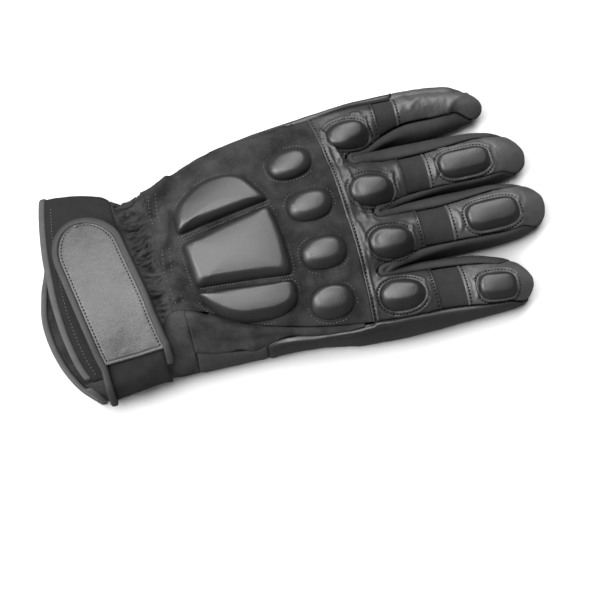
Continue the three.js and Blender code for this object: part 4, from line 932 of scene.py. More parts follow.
def weave_group():
    """Surface of cloth: crossing threads as the product of two sines along the panel's own millimetres. The
    colour follows the thread height plus a little noise, so the low places between threads are darker:
    painted shade in the weave's hollows."""
    tree, fresh = node_group(
        "Woven threads",
        [("Dark", "NodeSocketColor", (0.01, 0.01, 0.01, 1)),
         ("Light", "NodeSocketColor", (0.03, 0.03, 0.03, 1)),
         ("Threads along", "NodeSocketFloat", 2.0), ("Threads across", "NodeSocketFloat", 2.0),
         ("Thread height", "NodeSocketFloat", 0.3)],
        [("Color", "NodeSocketColor"), ("Normal", "NodeSocketVector")],
    )
    if not fresh:
        return tree
    given = node(tree, "NodeGroupInput").outputs
    made = node(tree, "NodeGroupOutput").inputs
    coords = node(tree, "ShaderNodeTexCoord").outputs
    split = node(tree, "ShaderNodeSeparateXYZ", {0: coords["UV"]}).outputs
    waves = [
        math_node(tree, "SINE", math_node(tree, "MULTIPLY", math_node(
            tree, "MULTIPLY", split[axis], given[socket]), 2 * np.pi))
        for axis, socket in ((0, "Threads along"), (1, "Threads across"))
    ]
    weave = math_node(tree, "MULTIPLY", waves[0], waves[1])
    noise = node(tree, "ShaderNodeTexNoise", {
        "Vector": coords["Object"], "Scale": 220.0, "Detail": 4.0}).outputs["Fac"]
    height = math_node(tree, "ADD", math_node(tree, "MULTIPLY", weave, 0.5), noise)
    bumped = node(tree, "ShaderNodeBump", {
        "Strength": given["Thread height"], "Distance": 0.0003, "Height": height}).outputs["Normal"]
    # Colour from the height: darker in the weave's hollows as painted shade, with a little noise
    share = node(tree, "ShaderNodeMapRange", {
        "Value": height, "From Min": 0.0, "From Max": 1.1}).outputs["Result"]
    tone = node(tree, "ShaderNodeMix", {0: share, 6: given["Dark"], 7: given["Light"]},
                data_type="RGBA")
    tree.links.new(tone.outputs[2], made["Color"])
    tree.links.new(bumped, made["Normal"])
    return tree


def material(finish):
    """A finish: a shader fed by the skin or the cloth group. Its dark tone is a share of the
    setting's colour, and its light tone as far above the colour as the dark one is below."""
    found = bpy.data.materials.get("glove_" + finish)
    if found:
        return found
    colours = bpy.context.scene.glove_colours
    tone = np.array(getattr(colours, finish))
    made = bpy.data.materials.new("glove_" + finish)
    made.use_nodes = True
    tree = made.node_tree
    shader = tree.nodes["Principled BSDF"]
    skin = finish in SKINS
    source = node(tree, "ShaderNodeGroup", node_tree=blotch_group() if skin else weave_group())
    deep = NAPPED_DARK_TONE if finish in ("suede", "gather") else DARK_TONE
    source.inputs["Dark"].default_value = (*(tone * deep), 1)
    source.inputs["Light"].default_value = (*(tone * (2 - deep)), 1)
    if skin:
        values = zip(SKIN_SOCKETS, SKINS[finish])
        tree.links.new(source.outputs["Roughness"], shader.inputs["Roughness"])
    else:
        *threads, rough = CLOTHS[finish]
        values = zip(CLOTH_SOCKETS, threads)
        shader.inputs["Roughness"].default_value = rough
    for socket, value in values:
        source.inputs[socket].default_value = value
    shader.inputs["Specular IOR Level"].default_value = SHINE[finish]
    tree.links.new(source.outputs["Color"], shader.inputs["Base Color"])
    tree.links.new(source.outputs["Normal"], shader.inputs["Normal"])
    return made


# Panels of the glove


def band_grid(finger, hand_rows, finger_rows, columns):
    """One finger's share of the knuckle leather: rows run from the knuckle seam to the line of
    the slot ends, then to the stretch cloth."""
    shares = np.concatenate([np.linspace(0, 1, hand_rows + 1),
                             1 + np.linspace(0, 1, finger_rows + 1)[1:] ** 1.4])
    u, v = np.meshgrid(shares, np.linspace(0, 1, columns + 1), indexing="ij")
    slot_x = mix(finger["outer_slot"][0], finger["thumb_slot"][0], v)
    x = slot_x
    for _ in range(4):
        sec = Section(finger, x)
        y, _z = sec.back(v)
        seam_x = knuckle_seam_x(y) + SEAM
        x = np.where(u <= 1, mix(seam_x, slot_x, u), mix(slot_x, finger["stretch"] - SEAM, u - 1))
    sec = Section(finger, x)
    y, z = sec.back(v)
    return part_slots(finger, place(finger, x, y, z))


def slot_half(x):
    """How far the leather draws back from a slot's line, at a length past the slot's end: a
    quarter ellipse that opens the end as a U, fading out along the finger."""
    part = np.clip(x / SLOT["depth"], 0, 1)
    return SLOT["half"] * np.sqrt(1 - (1 - part) ** 2) * (1 - smooth((x - 1) / SLOT["fade"]))


def part_slots(finger, points):
    """Moves leather off the lines of the slots beside a finger, less the further it lies."""
    x, y = points[..., 0], points[..., 1].copy()
    sec = Section(finger, x)
    for side, sign, flank in (("outer", 1, sec.outer), ("thumb", -1, sec.thumb)):
        if finger is (LITTLE if side == "outer" else INDEX):
            continue
        far = smooth(1 - sign * (points[..., 1] - flank[0][0]) / SLOT["reach"])
        y = y + sign * slot_half(x - finger[side + "_slot"][0]) * far
    return np.stack([x, y, points[..., 2]], -1)


def slot_roll(outer, thumb):
    """The rolled cloth edge in a slot: a tube that runs in along one finger's leather edge, round
    the slot end and out along the other, thinning away and sinking under the leather."""
    slot_x, slot_y = outer["thumb_slot"]
    run = np.concatenate([[0.0], np.linspace(0.35, 1, 46) ** 2])
    ahead = SLOT_ROLL["start"] + SLOT_ROLL["length"] * run
    x = slot_x + ahead
    radius = SLOT_ROLL["radius"] - SLOT_ROLL["thinning"] * smooth(run)
    sides = []
    for finger, side, sign in ((thumb, "outer", 1), (outer, "thumb", -1)):
        sec = Section(finger, x)
        y, z = (sec.outer if side == "outer" else sec.thumb)[0]
        y = y + sign * (slot_half(ahead) - radius * 0.85)
        y[0] = slot_y
        z = sec.back(0.0 if side == "outer" else 1.0)[1] - radius + 0.45 - 1.5 * smooth(run / 0.9)
        sides.append(np.stack([x, y, z], 1))
    path = np.concatenate([sides[0][:0:-1], (sides[0][:1] + sides[1][:1]) / 2, sides[1][1:]])
    size = np.concatenate([radius[:0:-1], radius])
    for _ in range(2):
        path[1:-1] = (path[:-2] + 2 * path[1:-1] + path[2:]) / 4
    along = np.gradient(path, axis=0)
    along /= np.linalg.norm(along, axis=1, keepdims=True)
    wide = np.cross(along, [0.0, 0.0, 1.0])
    wide /= np.linalg.norm(wide, axis=1, keepdims=True)
    bar(f"slot_roll_{thumb['name']}", path, wide, np.cross(wide, along),
        rounded_profile(2, 2, 2.0, 16), "web", nodes=[], scale=size)


def thumb_cover(x):
    """Share of the thumb-side flank that the suede covers, read from its table: most at the wrist,
    least at the knuckles."""
    return sample(COVER, x)["share"]


def build_back():
    """Suede, knuckle leather, and the cloth and twill of the outer flank."""
    start, end = line(GATHER["end"] + SEAM), lambda y: knuckle_seam_x(y) + 0.25
    suede = arc_grid(None, BACK, start, end, 150, 165)
    wrap = arc_grid(None, THUMB_SIDE, start, end, 150, 18, high=thumb_cover)
    panel("back_suede", [suede, wrap], ["el", "er"], suede_relief, "suede")
    grids = [band_grid(finger, 14, 46, 46) for finger in FINGERS]
    sides = ["sel", "se", "se", "ser"]
    panel("knuckle_band", grids, sides, band_relief, "leather")
    flank = arc_grid(None, OUTER_SIDE, line(HAND_START), line(SIDE_STRETCH_END), 90, 14,
                     low=lambda x: 1 - sample(FLANK, x)["share"], trims=(SEAM, 0))
    panel("side_stretch", [flank], ["r"], side_relief, "gather")
    gusset = arc_grid(None, OUTER_SIDE, line(HAND_START), line(FLANK_START - SEAM), 40, 22,
                      high=lambda x: 1 - sample(FLANK, x)["share"], trims=(SEAM, SEAM))
    panel("side_gusset", [gusset], ["selr"], cloth_relief, "twill")


def index_wrap(x):
    """Share of the index finger's thumb-side flank that its leather end covers: a smooth step up
    from nothing at the seam."""
    return 0.62 * smooth((x - INDEX["end"] - SEAM) / 5)


def tip_rows(finger, start, rows, round_rows):
    """Places along a finger: even steps up to where its tip rounds off, then the sines of even
    angles, which crowd together towards the tip."""
    turn_x = finger["tip"][0] - finger["round"]
    rounded = turn_x + finger["round"] * np.sin(np.linspace(0, np.pi / 2, round_rows + 1))
    return np.concatenate([np.linspace(start, turn_x, rows + 1)[:-1], rounded])


def finger_points(finger, arc, xs, columns, trims, lift=0.0, reach=None):
    """A grid over a finger's arc at the places xs, between its two edges drawn in by the trims,
    or over the share of it that reach gives at each x."""
    x, v = np.meshgrid(xs, np.linspace(0, 1, columns + 1), indexing="ij")
    v = v * reach(x) if reach else v
    sec = Section(finger, x)
    low = sec.inset(arc, 0.0, 0.5, trims[0]) if trims[0] else 0.0
    high = sec.inset(arc, 1.0, 0.5, trims[1]) if trims[1] else 1.0
    y, z = sec.point(arc, mix(low, high, v))
    return place(finger, x, y, z, lift)


def fourchette_column(finger, side, x, v):
    """The cloth on one flank of a finger: the flank's own arc, tucked deeper under the leather at
    the finger root, and pushed out by a bell across its width that fades towards the tip."""
    sec = Section(finger, x)
    arc = THUMB_SIDE if side == "thumb" else OUTER_SIDE
    slot = finger[side + "_slot"]
    tuck = 0.2 + 1.0 * (1 - smooth((x - slot[0] - 2) / 7))
    low = sec.inset(arc, 0.0, 0.5, tuck if side == "thumb" else 0.2)
    high = sec.inset(arc, 1.0, 0.5, 0.2 if side == "thumb" else tuck)
    y, z = sec.point(arc, mix(low, high, v) if side == "thumb" else mix(high, low, v))
    fade = 1 - smooth((x - slot[0] - 4) / 42)
    ending = 1 - smooth((x - finger["tip"][0] + 28) / 16)
    full = 2.4 * fade + 0.5 * ending if side == "outer" else 1.0 * fade
    swell = full * bump(v - 0.24, 0.17) - 0.7 * (1 - ending)
    return place(finger, x, y + (swell if side == "thumb" else -swell), z + 0.5 * swell)


def fourchette(outer, thumb):
    """Cloth strip between two fingers: down one flank, round the slot end through the mean of the
    two flanks' first rows, and out along the other."""
    slot = outer["thumb_slot"]
    shares = np.concatenate([np.linspace(0, 0.1, 12)[:-1], np.linspace(0.1, 1, 70)])
    v = np.linspace(0, 1, 19)

    def along(finger):
        return np.meshgrid(mix(slot[0] + 0.6, finger["tip"][0] - 8, shares), v, indexing="ij")

    upper = fourchette_column(thumb, "outer", *along(thumb))[::-1]
    lower = fourchette_column(outer, "thumb", *along(outer))
    turn = (upper[-1:] + lower[:1]) / 2
    turn[..., 0] = slot[0] + 0.2
    grid = np.concatenate([upper, turn, lower])
    name = f"fourchette_{thumb['name']}_{outer['name']}"
    panel(name, [grid], ["lr"], fourchette_relief, "web", thick=1.0)


def build_fingers():
    """Stretch cloth, leather ends and the cloth strips between the fingers."""
    for finger in FINGERS:
        name = finger["name"]
        cloth = arc_grid(finger, BACK, line(finger["stretch"] - 0.6), line(finger["end"] + 0.6),
                         26, 46)
        panel("stretch_" + name, [cloth], ["lr"], stretch_relief, "knit")
        index = finger is INDEX
        rows = tip_rows(finger, finger["end"] + SEAM, 70, 26)
        tip = finger_points(finger, BACK, rows, 50, (0.25, 0 if index else 0.25), 0.3)
        wrap = finger_points(finger, THUMB_SIDE, rows, 14, (0, 0), 0.3, index_wrap)
        grids, sides = ([tip, wrap], ["sl", "sr"]) if index else ([tip], ["slr"])
        panel("tip_" + name, grids, sides, tip_relief, "tip", thick=1.0)
    for outer, thumb in zip(FINGERS, FINGERS[1:]):
        fourchette(outer, thumb)
        slot_roll(outer, thumb)


def palm_strip(finger, stops):
    """One finger's share of the palm, from the wrist to the fingertip: a straight share of the
    hand's palm arc up to the fingers' roots, and the finger's own palm arc from there on."""
    v = np.linspace(0, 1, 25)
    x, w = np.meshgrid(stops[stops < HAND_END], v, indexing="ij")
    sec = Section(None, x)
    ends = sec.thumb[2][0], sec.outer[2][0]
    high = ends[0] if finger is INDEX else finger["thumb_slot"][1]
    low = ends[1] if finger is LITTLE else finger["outer_slot"][1]
    y = mix(high, low, w)
    t = np.clip((y - ends[0]) / (ends[1] - ends[0]), 0, 1)
    y, z = sec.palm(t)
    hand = place(None, x, y, z)
    slot_x = mix(finger["outer_slot"][0], finger["thumb_slot"][0], 1 - v)
    u = np.linspace(0, 1, 10)[:, None]
    roots = mix(HAND_END + 0 * slot_x[None], slot_x[None], u)
    tips = tip_rows(finger, slot_x.max() + 2, 44, 14)[:, None] + 0 * slot_x[None]
    x = np.concatenate([roots, tips])
    sec = Section(finger, x)
    _, w = np.meshgrid(np.zeros(len(x)), v, indexing="ij")
    open_ = x > slot_x[None] + 0.01
    gap = 0.25
    low_t = np.where(open_ & (finger is not INDEX), sec.inset(PALM, 0.0, 0.5, gap), 0.0)
    high_t = np.where(open_ & (finger is not LITTLE), sec.inset(PALM, 1.0, 0.5, gap), 1.0)
    y, z = sec.palm(mix(low_t, high_t, w))
    return np.concatenate([hand, place(finger, x, y, z)])


def refine(stops, step):
    """Fills in places between stops, none further apart than step."""
    spans = list(zip(stops, stops[1:]))
    parts = [np.linspace(a, b, int(np.ceil((b - a) / step)) + 1)[:-1] for a, b in spans]
    return np.concatenate([*parts, stops[-1:]])


def build_palm():
    """Leather palm: four finger shares, with the thumb's hole left out of two of them, and the
    rest of both flanks below the seams of their neighbours."""
    stops = refine([HAND_START, THUMB["hole_back"], THUMB["hole_front"], HAND_END], PALM_STEP)[:-1]
    grids, sides, skips = [], [], []
    crowded = np.linspace(0, 1, 26) ** 1.8
    for finger in FINGERS:
        grid = palm_strip(finger, stops)
        rows, columns = grid.shape[:2]
        _, j = np.meshgrid(np.arange(rows - 1), np.arange(columns - 1), indexing="ij")
        x = np.concatenate([stops, np.full(rows, 999.0)])[:rows - 1]
        hole = (x[:, None] >= THUMB["hole_back"] - 0.01) & (x[:, None] < THUMB["hole_front"] - 0.01)
        across = (j < 12) if finger is MIDDLE else (j >= 6) if finger is INDEX else j < 0
        grids.append(grid)
        sides.append("s")
        skips.append(hole & across)
    for finger, arc in ((LITTLE, OUTER_SIDE), (INDEX, THUMB_SIDE)):
        thumb = arc == THUMB_SIDE
        hand_x = stops[stops >= THUMB["hole_front"] - 0.01]
        if thumb:
            wrist = refine([GATHER["end"], HAND_START], PALM_STEP)[:-1]
            hand_x = np.concatenate([wrist, stops])
        slot_x = (finger["thumb_slot"] if thumb else finger["outer_slot"])[0]
        root_x = mix(HAND_END, slot_x, np.linspace(0, 1, 10))
        slots = finger["outer_slot"][0], finger["thumb_slot"][0]
        tip_x = tip_rows(finger, max(slots) + 2, 44, 14)
        parts = []
        for part, xs in ((None, hand_x), (finger, np.concatenate([root_x, tip_x]))):
            x, v = np.meshgrid(xs, crowded if thumb else 1 - crowded[::-1], indexing="ij")
            sec = Section(part, x)
            share = 0.0 if thumb else np.where(x > 28, 0.0, sample(FLANK, x)["share"])
            seam = 1 - share + 0.0 * x
            if thumb:
                seam = np.where(x < 28, thumb_cover(x), index_wrap(x))
            edge = sec.inset(arc, seam, 1.0 if thumb else 0.0, SEAM)
            y, z = sec.point(arc, mix(edge, 1.0, v) if thumb else mix(0.0, edge, v))
            parts.append(place(part, x, y, z))
        grids.append(np.concatenate(parts))
        sides.append("sl" if thumb else "sr")
        skips.append(None)
    panel("palm_leather", grids, sides, palm_relief, "palm", skips=skips, thick=1.0)


def thumb_path():
    """The thumb's sections: a quarter turn about a hinge line in front of its root, then a run
    under the palm that curves towards the outer side. Columns are top point, across, out and
    half sizes, filled in between by the table's own cubic."""
    root, *others = zip(*THUMB_SECTIONS.values())
    rows = []
    for turn in np.linspace(0, np.pi / 2, 5):
        out_x, out_z = -np.cos(turn), -np.sin(turn)
        rows.append((THUMB["hinge_x"] + out_x * THUMB["gap"], THUMB["root_y"],
                     THUMB["root_z"] + out_z * THUMB["gap"], 0, 1, out_x, out_z, *root[1:]))
    x, y, along = THUMB["hinge_x"], THUMB["root_y"], 0.0
    length = others[-1][0]
    for run, half, height in others:
        angle = np.radians(THUMB["heading"] * float(smooth(run / length / THUMB["curve"])))
        x, y = x + (run - along) * np.cos(angle), y + (run - along) * np.sin(angle)
        along = run
        rows.append((x, y, height - THUMB["settle"], -np.sin(angle), np.cos(angle), 0, -1,
                     half, height))
    columns = "px py pz ax ay ox oz half height"
    stops = table("x " + columns, [(i, *row) for i, row in enumerate(rows)])
    return sample(stops, np.linspace(0, len(rows) - 1, THUMB["stops"]))


def thumb_half(name, start, end):
    """Half of a flattened tube: at each section a superellipse of power 3 between two angles, cut
    off at the table. The grid is turned round where its normals point inwards."""
    at = thumb_path()
    i, a = np.meshgrid(np.arange(THUMB["stops"]),
                       np.radians(np.linspace(start + 0.6, end - 0.6, 41)), indexing="ij")
    c, s = np.cos(a), np.sin(a)
    across = at["half"][i] * np.sign(c) * np.abs(c) ** (2 / 3)
    out = at["height"][i] / 2 * (1 - np.sign(s) * np.abs(s) ** (2 / 3))
    grid = np.stack([
        at["px"][i] + at["ax"][i] * across + at["ox"][i] * out,
        at["py"][i] + at["ay"][i] * across,
        np.maximum(at["pz"][i] + at["oz"][i] * out, 0),
    ], -1)
    n = vertex_normals(grid.reshape(-1, 3), quads(*grid.shape[:2]))
    centre = np.stack([at["px"] + at["ox"] * at["height"] / 2, at["py"],
                       at["pz"] + at["oz"] * at["height"] / 2], 1)[:, None]
    if ((grid - centre).reshape(-1, 3) * n).sum() < 0:
        grid = grid[:, ::-1]
    panel(name, [grid], ["lr"], palm_relief, "palm")


def build_thumb():
    """The two halves of the thumb."""
    thumb_half("thumb_back", 0, 180)
    thumb_half("thumb_palm", 180, 360)


# Pads


def pad_rise(d, height, shoulder, power):
    """Height above the base at a distance in from the outline: a quarter of a superellipse, upright
    at the rim and level one shoulder's width in."""
    short = 1 - np.clip(d / shoulder, 0, 1)
    return height * (1 - short**power) ** (1 / power)


def fitted(x, y, z):
    """Values of the quadratic in x and y that lies closest to z by least squares."""
    u, v = (x - x.mean()) / 10, (y - y.mean()) / 10
    terms = np.stack([1 + 0 * u, u, v, u * u, u * v, v * v], -1)
    share, *_ = np.linalg.lstsq(terms.reshape(-1, 6), z.ravel(), rcond=None)
    return terms @ share


def pad(name, outline, height, shoulder, crown, level):
    """A closed moulded pad: rings from the middle of its outline to the rim, raised by the
    distance to the rim, a short wall into the panel, and an underside that follows the panel. The
    distance is averaged along each ring, which rounds the ridges off. The top rests at the rim on the panel,
    averaged along it, and further in on a quadratic fitted to the panel, the share level of its
    curve taken out; it falls by the crown from the middle to the rim."""
    centre = outline.mean(0)
    r = np.concatenate([np.linspace(0, 0.6, 14)[:-1], 1 - 0.4 * np.linspace(1, 0, 26) ** 1.7])
    plan = centre + r[:, None, None] * (outline - centre)
    x, y = plan[..., 0], plan[..., 1]
    d = np.maximum(-outline_distance(x.ravel(), y.ravel(), outline), 0).reshape(x.shape)
    d[-1] = 0
    base = back_height(x, y)
    foot = base[-1]
    for _ in range(30):
        d = (np.roll(d, 1, 1) + 2 * d + np.roll(d, -1, 1)) / 4
        foot = (np.roll(foot, 1) + 2 * foot + np.roll(foot, -1)) / 4
    smoothed = fitted(x, y, base)
    smoothed = mix(smoothed, smoothed[0, 0], level)
    rise = pad_rise(d, height - crown * r[:, None] ** 2.4, shoulder, PAD_RIM_POWER)
    waves = 0.012 * ripple(x, y, 9, len(name)) * smooth(d / 3)
    top = mix(foot, smoothed, smooth(d / shoulder)) + 0.1 + rise + waves
    upper = np.concatenate([plan, top[..., None]], -1)
    rim = np.concatenate([plan[-1:], (base[-1:] - 1.0)[..., None]], -1)
    under_plan = centre + np.array([0.5, 0.0])[:, None, None] * (outline - centre)
    under_z = back_height(under_plan[..., 0], under_plan[..., 1]) - 1.0
    under = np.concatenate([under_plan, under_z[..., None]], -1)
    rings = np.concatenate([upper, rim, under])
    faces = quads(len(rings), len(outline), closed=True)
    flat = rings.reshape(-1, 3)
    first, index = weld([rings])
    obj = make_object(name + "_cushion", flat[first], index[faces])
    finish_piece(obj, "pad", [name])


def build_pads():
    """Every moulded pad of the back, knuckles and fingers, each from its own mould or else from
    its group's."""
    heights = {**PAD_HEIGHTS, **{name: row["height"] for name, row in OVAL_PADS.items()}}
    for name, height in heights.items():
        group = name.rsplit("_", 1)[0]
        pad(name, OUTLINES[name], height, **PAD_MOULDS.get(name, PAD_MOULDS[group]))


# Cuff and wrist


def cuff_line(name, inside=0.0):
    """The edge of a cuff half, moved inwards."""
    return lambda y: sample(CUFF_EDGE, y)[name] + inside


def strap_centre(y):
    """The strap's middle line, which leans back towards the thumb."""
    return STRAP["x"] + STRAP["lean"] * (y + 1)


def gather_grid(arc, rows, columns):
    """Elastic-drawn cloth: soft puckers drawn out along the glove, with narrow folds where two
    other waves cross zero. All die out at both edges and under the strap."""
    grid = arc_grid(None, arc, line(GATHER["start"] + SEAM), line(GATHER["end"] - SEAM),
                    rows, columns)
    u, v = np.meshgrid(np.linspace(0, 1, rows + 1), np.linspace(0, 1, columns + 1), indexing="ij")
    along = v if arc == BACK else 1 + v * GATHER["flank"]
    x, y = grid[..., 0], grid[..., 1]
    ends = smooth(along / 0.05) * smooth((1 + GATHER["flank"] - along) / 0.1)
    free = np.where(y > STRAP["end"], 1, smooth((x - strap_centre(y) - STRAP["half"] - 0.5) / 4))
    puckers = 0.55 * ripple(0.4 * x, y, 12, 5)
    folds = bump(ripple(0.35 * x, y, 15, 8), 0.2) + 0.7 * bump(ripple(0.5 * x, y, 11, 3), 0.16)
    height = GATHER["height"] * ends * free * np.sin(u * np.pi) ** 0.7 * (puckers - folds)
    normals = vertex_normals(grid.reshape(-1, 3), quads(*grid.shape[:2])).reshape(grid.shape)
    return grid + normals * height[..., None]


def binding_path(name, spans, width):
    """Middle line of a cuff binding over two arcs, half a width in from the cuff's edge, with the
    outward direction at each stop, square to the arc. Stops closer than 0.3 mm are dropped."""
    edge = cuff_line(name)
    points, outs = [], []
    for arc, start, end, count in spans:
        t = np.linspace(start, end, count)
        x = edge(0 * t)
        for _ in range(4):
            x = edge(Section(None, x).point(arc, t)[0])
        sec = Section(None, x + width / 2)
        y, z = sec.point(arc, t)
        a, b = sec.point(arc, np.clip(t - 0.02, 0, 1)), sec.point(arc, np.clip(t + 0.02, 0, 1))
        out = np.stack([0 * t, -(b[1] - a[1]), b[0] - a[0]], 1)
        points.append(np.stack([x + width / 2, y, np.maximum(z, 0.1)], 1))
        outs.append(out / np.linalg.norm(out, axis=1, keepdims=True))
    points, outs = np.vstack(points), np.vstack(outs)
    apart = np.concatenate([[True], np.linalg.norm(np.diff(points, axis=0), axis=1) > 0.3])
    return points[apart], outs[apart]


def build_cuff():
    """Gathered wrist, the two cuff halves and their bindings."""
    panel("wrist_gather", [gather_grid(BACK, 44, 300), gather_grid(THUMB_SIDE, 44, 70)],
          ["l", "r"], soft_relief, "gather")
    back = cuff_line("back", 2.0)
    palm = cuff_line("palm", 2.0)
    panel("cuff_back", [
        arc_grid(None, BACK, back, line(GATHER["start"]), 60, 130),
        arc_grid(None, THUMB_SIDE, back, line(GATHER["start"]), 60, 26),
    ], ["el", "er"], cloth_relief, "stretch")
    panel("cuff_palm", [
        arc_grid(None, PALM, palm, line(HAND_START - SEAM), 60, 100),
        arc_grid(None, OUTER_SIDE, palm, line(HAND_START - SEAM), 60, 30),
    ], ["el", "er"], soft_relief, "gather")
    for name, spans in (
        ("back", ((BACK, 0.02, 1, 90), (THUMB_SIDE, 0, 0.96, 30))),
        ("palm", ((PALM, 0.02, 1, 90), (OUTER_SIDE, 0, 0.9, 30))),
    ):
        path, out = binding_path(name, spans, CUFF_BINDING["inside"])
        path = path - out * CUFF_BINDING["sink"]
        path[:, 2] = np.maximum(path[:, 2], CUFF_BINDING["lowest"])
        wide = np.repeat([[1.0, 0, 0]], len(path), 0)
        profile = rounded_profile(CUFF_BINDING["width"], CUFF_BINDING["thickness"])
        bar("binding_" + name, path, wide, out, profile, "binding")


# Strap


def strap_point(x, turn, height):
    """A place on the strap: turn runs from -1 at the palm seam up the outer flank to 0 at the
    back seam, then counts the distance across the back; height is above the cuff. Round the
    seam the place is the mean of nine turns, so that the strap bridges the seam's crease."""
    sec = Section(None, x)
    width = sec.thumb[0][0] - sec.outer[0][0]
    turn = turn - (sec.outer[0][0] - STRAP["seam"]) / STRAP["unit"] * (1 - smooth(turn / 0.3))
    spread = 0.16 * bump(turn, 0.2)

    def at(step):
        total = 0.0
        for shift in np.linspace(-1, 1, 9):
            t = turn + step + shift * spread
            flank = sec.point(OUTER_SIDE, np.clip(1 + t, 0, 1))
            back = sec.back(np.clip(t * STRAP["unit"] / width, 0, 1))
            total = total + np.stack([np.where(t < 0, f, b) for f, b in zip(flank, back)]) / 9
        return total

    y, z = at(0.0)
    a, b = at(-0.012), at(0.012)
    length = np.hypot(b[0] - a[0], b[1] - a[1])
    ny, nz = -(b[1] - a[1]) / length, (b[0] - a[0]) / length
    return np.stack([x + 0 * y, y + ny * height, z + nz * height], -1), \
        np.stack([0 * y, ny, nz], -1)


def strap_half(turn, inset):
    """Half width of the strap's outline at a turn: straight, then an elliptical end."""
    y = STRAP["seam"] + np.maximum(turn, 0) * STRAP["unit"]
    part = np.clip((y - STRAP["round"]) / (STRAP["end"] - inset - STRAP["round"]), 0, 1)
    return (STRAP["half"] - inset) * np.sqrt(1 - part**2), y


def strap_line(across, inset, height, y):
    """Turns at which the lines along the strap cross one y, found by halving."""
    low, high = -0.45 + 0 * across, 0.2 + 0 * across
    for _ in range(24):
        turn = (low + high) / 2
        half, centre_y = strap_half(turn, inset)
        point, _high = strap_point(strap_centre(centre_y) + across * half, turn, height)
        below = point[..., 1] < y
        low, high = np.where(below, turn, low), np.where(below, high, turn)
    return high


def strap_slab(name, start_y, inset, height, relief, finish, thick):
    """A layer of the strap as a grid along its length and across its width: even steps up to the
    rounded end, and there the sines of even angles. Each row reaches across the outline's width."""
    end = (STRAP["end"] - inset - STRAP["seam"]) / STRAP["unit"]
    round_from = (STRAP["round"] - STRAP["seam"]) / STRAP["unit"]
    across = np.linspace(-1, 1, 53)
    start = STRAP["start"] + 0 * across
    if start_y is not None:
        start = strap_line(across, inset, height, start_y)
    shares = np.linspace(0, 1, 90)[:-1, None]
    tip = round_from + (end - round_from) * np.sin(np.linspace(0, np.pi / 2, 40))
    turn = np.concatenate([mix(start, round_from, shares), tip[:, None] + 0 * across])
    v = across + 0 * turn
    half, y = strap_half(turn, inset)
    grid, _ = strap_point(strap_centre(y) + v * half, turn, height)
    panel(name, [grid[:, ::-1]], ["selr"], relief, finish, thick=thick)


def build_strap():
    """The strap's cloth base, its leather face and the binding round both."""
    strap_slab("strap_base", None, STRAP["border"], STRAP_LAYERS["base"], cloth_relief,
               "stretch", 1.3)
    strap_slab("strap_face", STRAP["face"], STRAP["border"] - 0.5, STRAP_LAYERS["face"],
               strap_relief, "strap", 1.2)
    inset = STRAP_LAYERS["binding_inset"]
    half = STRAP["half"] - inset
    reach = STRAP["end"] - inset - STRAP["round"]
    bend = (STRAP["round"] - STRAP["seam"]) / STRAP["unit"]
    left, right = np.linspace(STRAP["start"], bend, 90), np.linspace(STRAP["stop"], bend, 70)
    angle = np.linspace(-np.pi / 2, np.pi / 2, 60)[1:-1]
    end_y = STRAP["round"] + reach * np.cos(angle)
    turns = np.concatenate([left, (end_y - STRAP["seam"]) / STRAP["unit"], right[::-1]])
    across = np.concatenate([-half + 0 * left, half * np.sin(angle), half + 0 * right])
    y = STRAP["seam"] + np.maximum(turns, 0) * STRAP["unit"]
    path, high = strap_point(strap_centre(y) + across, turns, STRAP_LAYERS["binding"])
    ahead = np.gradient(path, axis=0)
    ahead /= np.linalg.norm(ahead, axis=1, keepdims=True)
    wide = np.cross(ahead, high)
    wide /= np.linalg.norm(wide, axis=1, keepdims=True)
    bar("strap_binding", path, wide, high, rounded_profile(3.6, 3.7), "edging")


# Stitching


def offset_outline(outline, distance):
    """A closed outline moved outwards along its normals."""
    ahead = np.roll(outline, -1, 0) - np.roll(outline, 1, 0)
    normal = np.stack([ahead[:, 1], -ahead[:, 0]], 1)
    normal /= np.linalg.norm(normal, axis=1, keepdims=True)
    if np.sum((outline - outline.mean(0)) * normal) < 0:
        normal = -normal
    return outline + normal * distance


def spaced(path, spacing):
    """Evenly spaced stops along an open path, with the direction at each."""
    lengths = np.concatenate([[0], np.cumsum(np.linalg.norm(np.diff(path, axis=0), axis=1))])
    count = max(int(lengths[-1] / spacing), 1)
    at = (np.arange(count) + 0.5) * lengths[-1] / count
    stops = np.stack([np.interp(at, lengths, path[:, i]) for i in range(path.shape[1])], 1)
    ahead = np.stack([
        np.interp(at + 0.1, lengths, path[:, i]) - np.interp(at - 0.1, lengths, path[:, i])
        for i in range(path.shape[1])], 1)
    return stops, ahead / np.maximum(np.linalg.norm(ahead, axis=1, keepdims=True), 1e-9)


def on_back(path, spacing, lift):
    """Stitch places along a line in plan, laid on the back of the glove, with the run and the
    upward direction at each. The slope is the difference of heights a little either side."""
    stops, ahead = spaced(path, spacing)
    x, y = stops.T
    z = back_height(x, y) + lift
    e = 0.4
    slope = np.stack([
        (back_height(x + e, y) - back_height(x - e, y)) / (2 * e),
        (back_height(x, y + e) - back_height(x, y - e)) / (2 * e)], 1)
    up = np.stack([-slope[:, 0], -slope[:, 1], np.ones(len(x))], 1)
    up /= np.linalg.norm(up, axis=1, keepdims=True)
    run = np.stack([ahead[:, 0], ahead[:, 1], (ahead * slope).sum(1)], 1)
    return np.stack([x, y, z], 1), run / np.linalg.norm(run, axis=1, keepdims=True), up


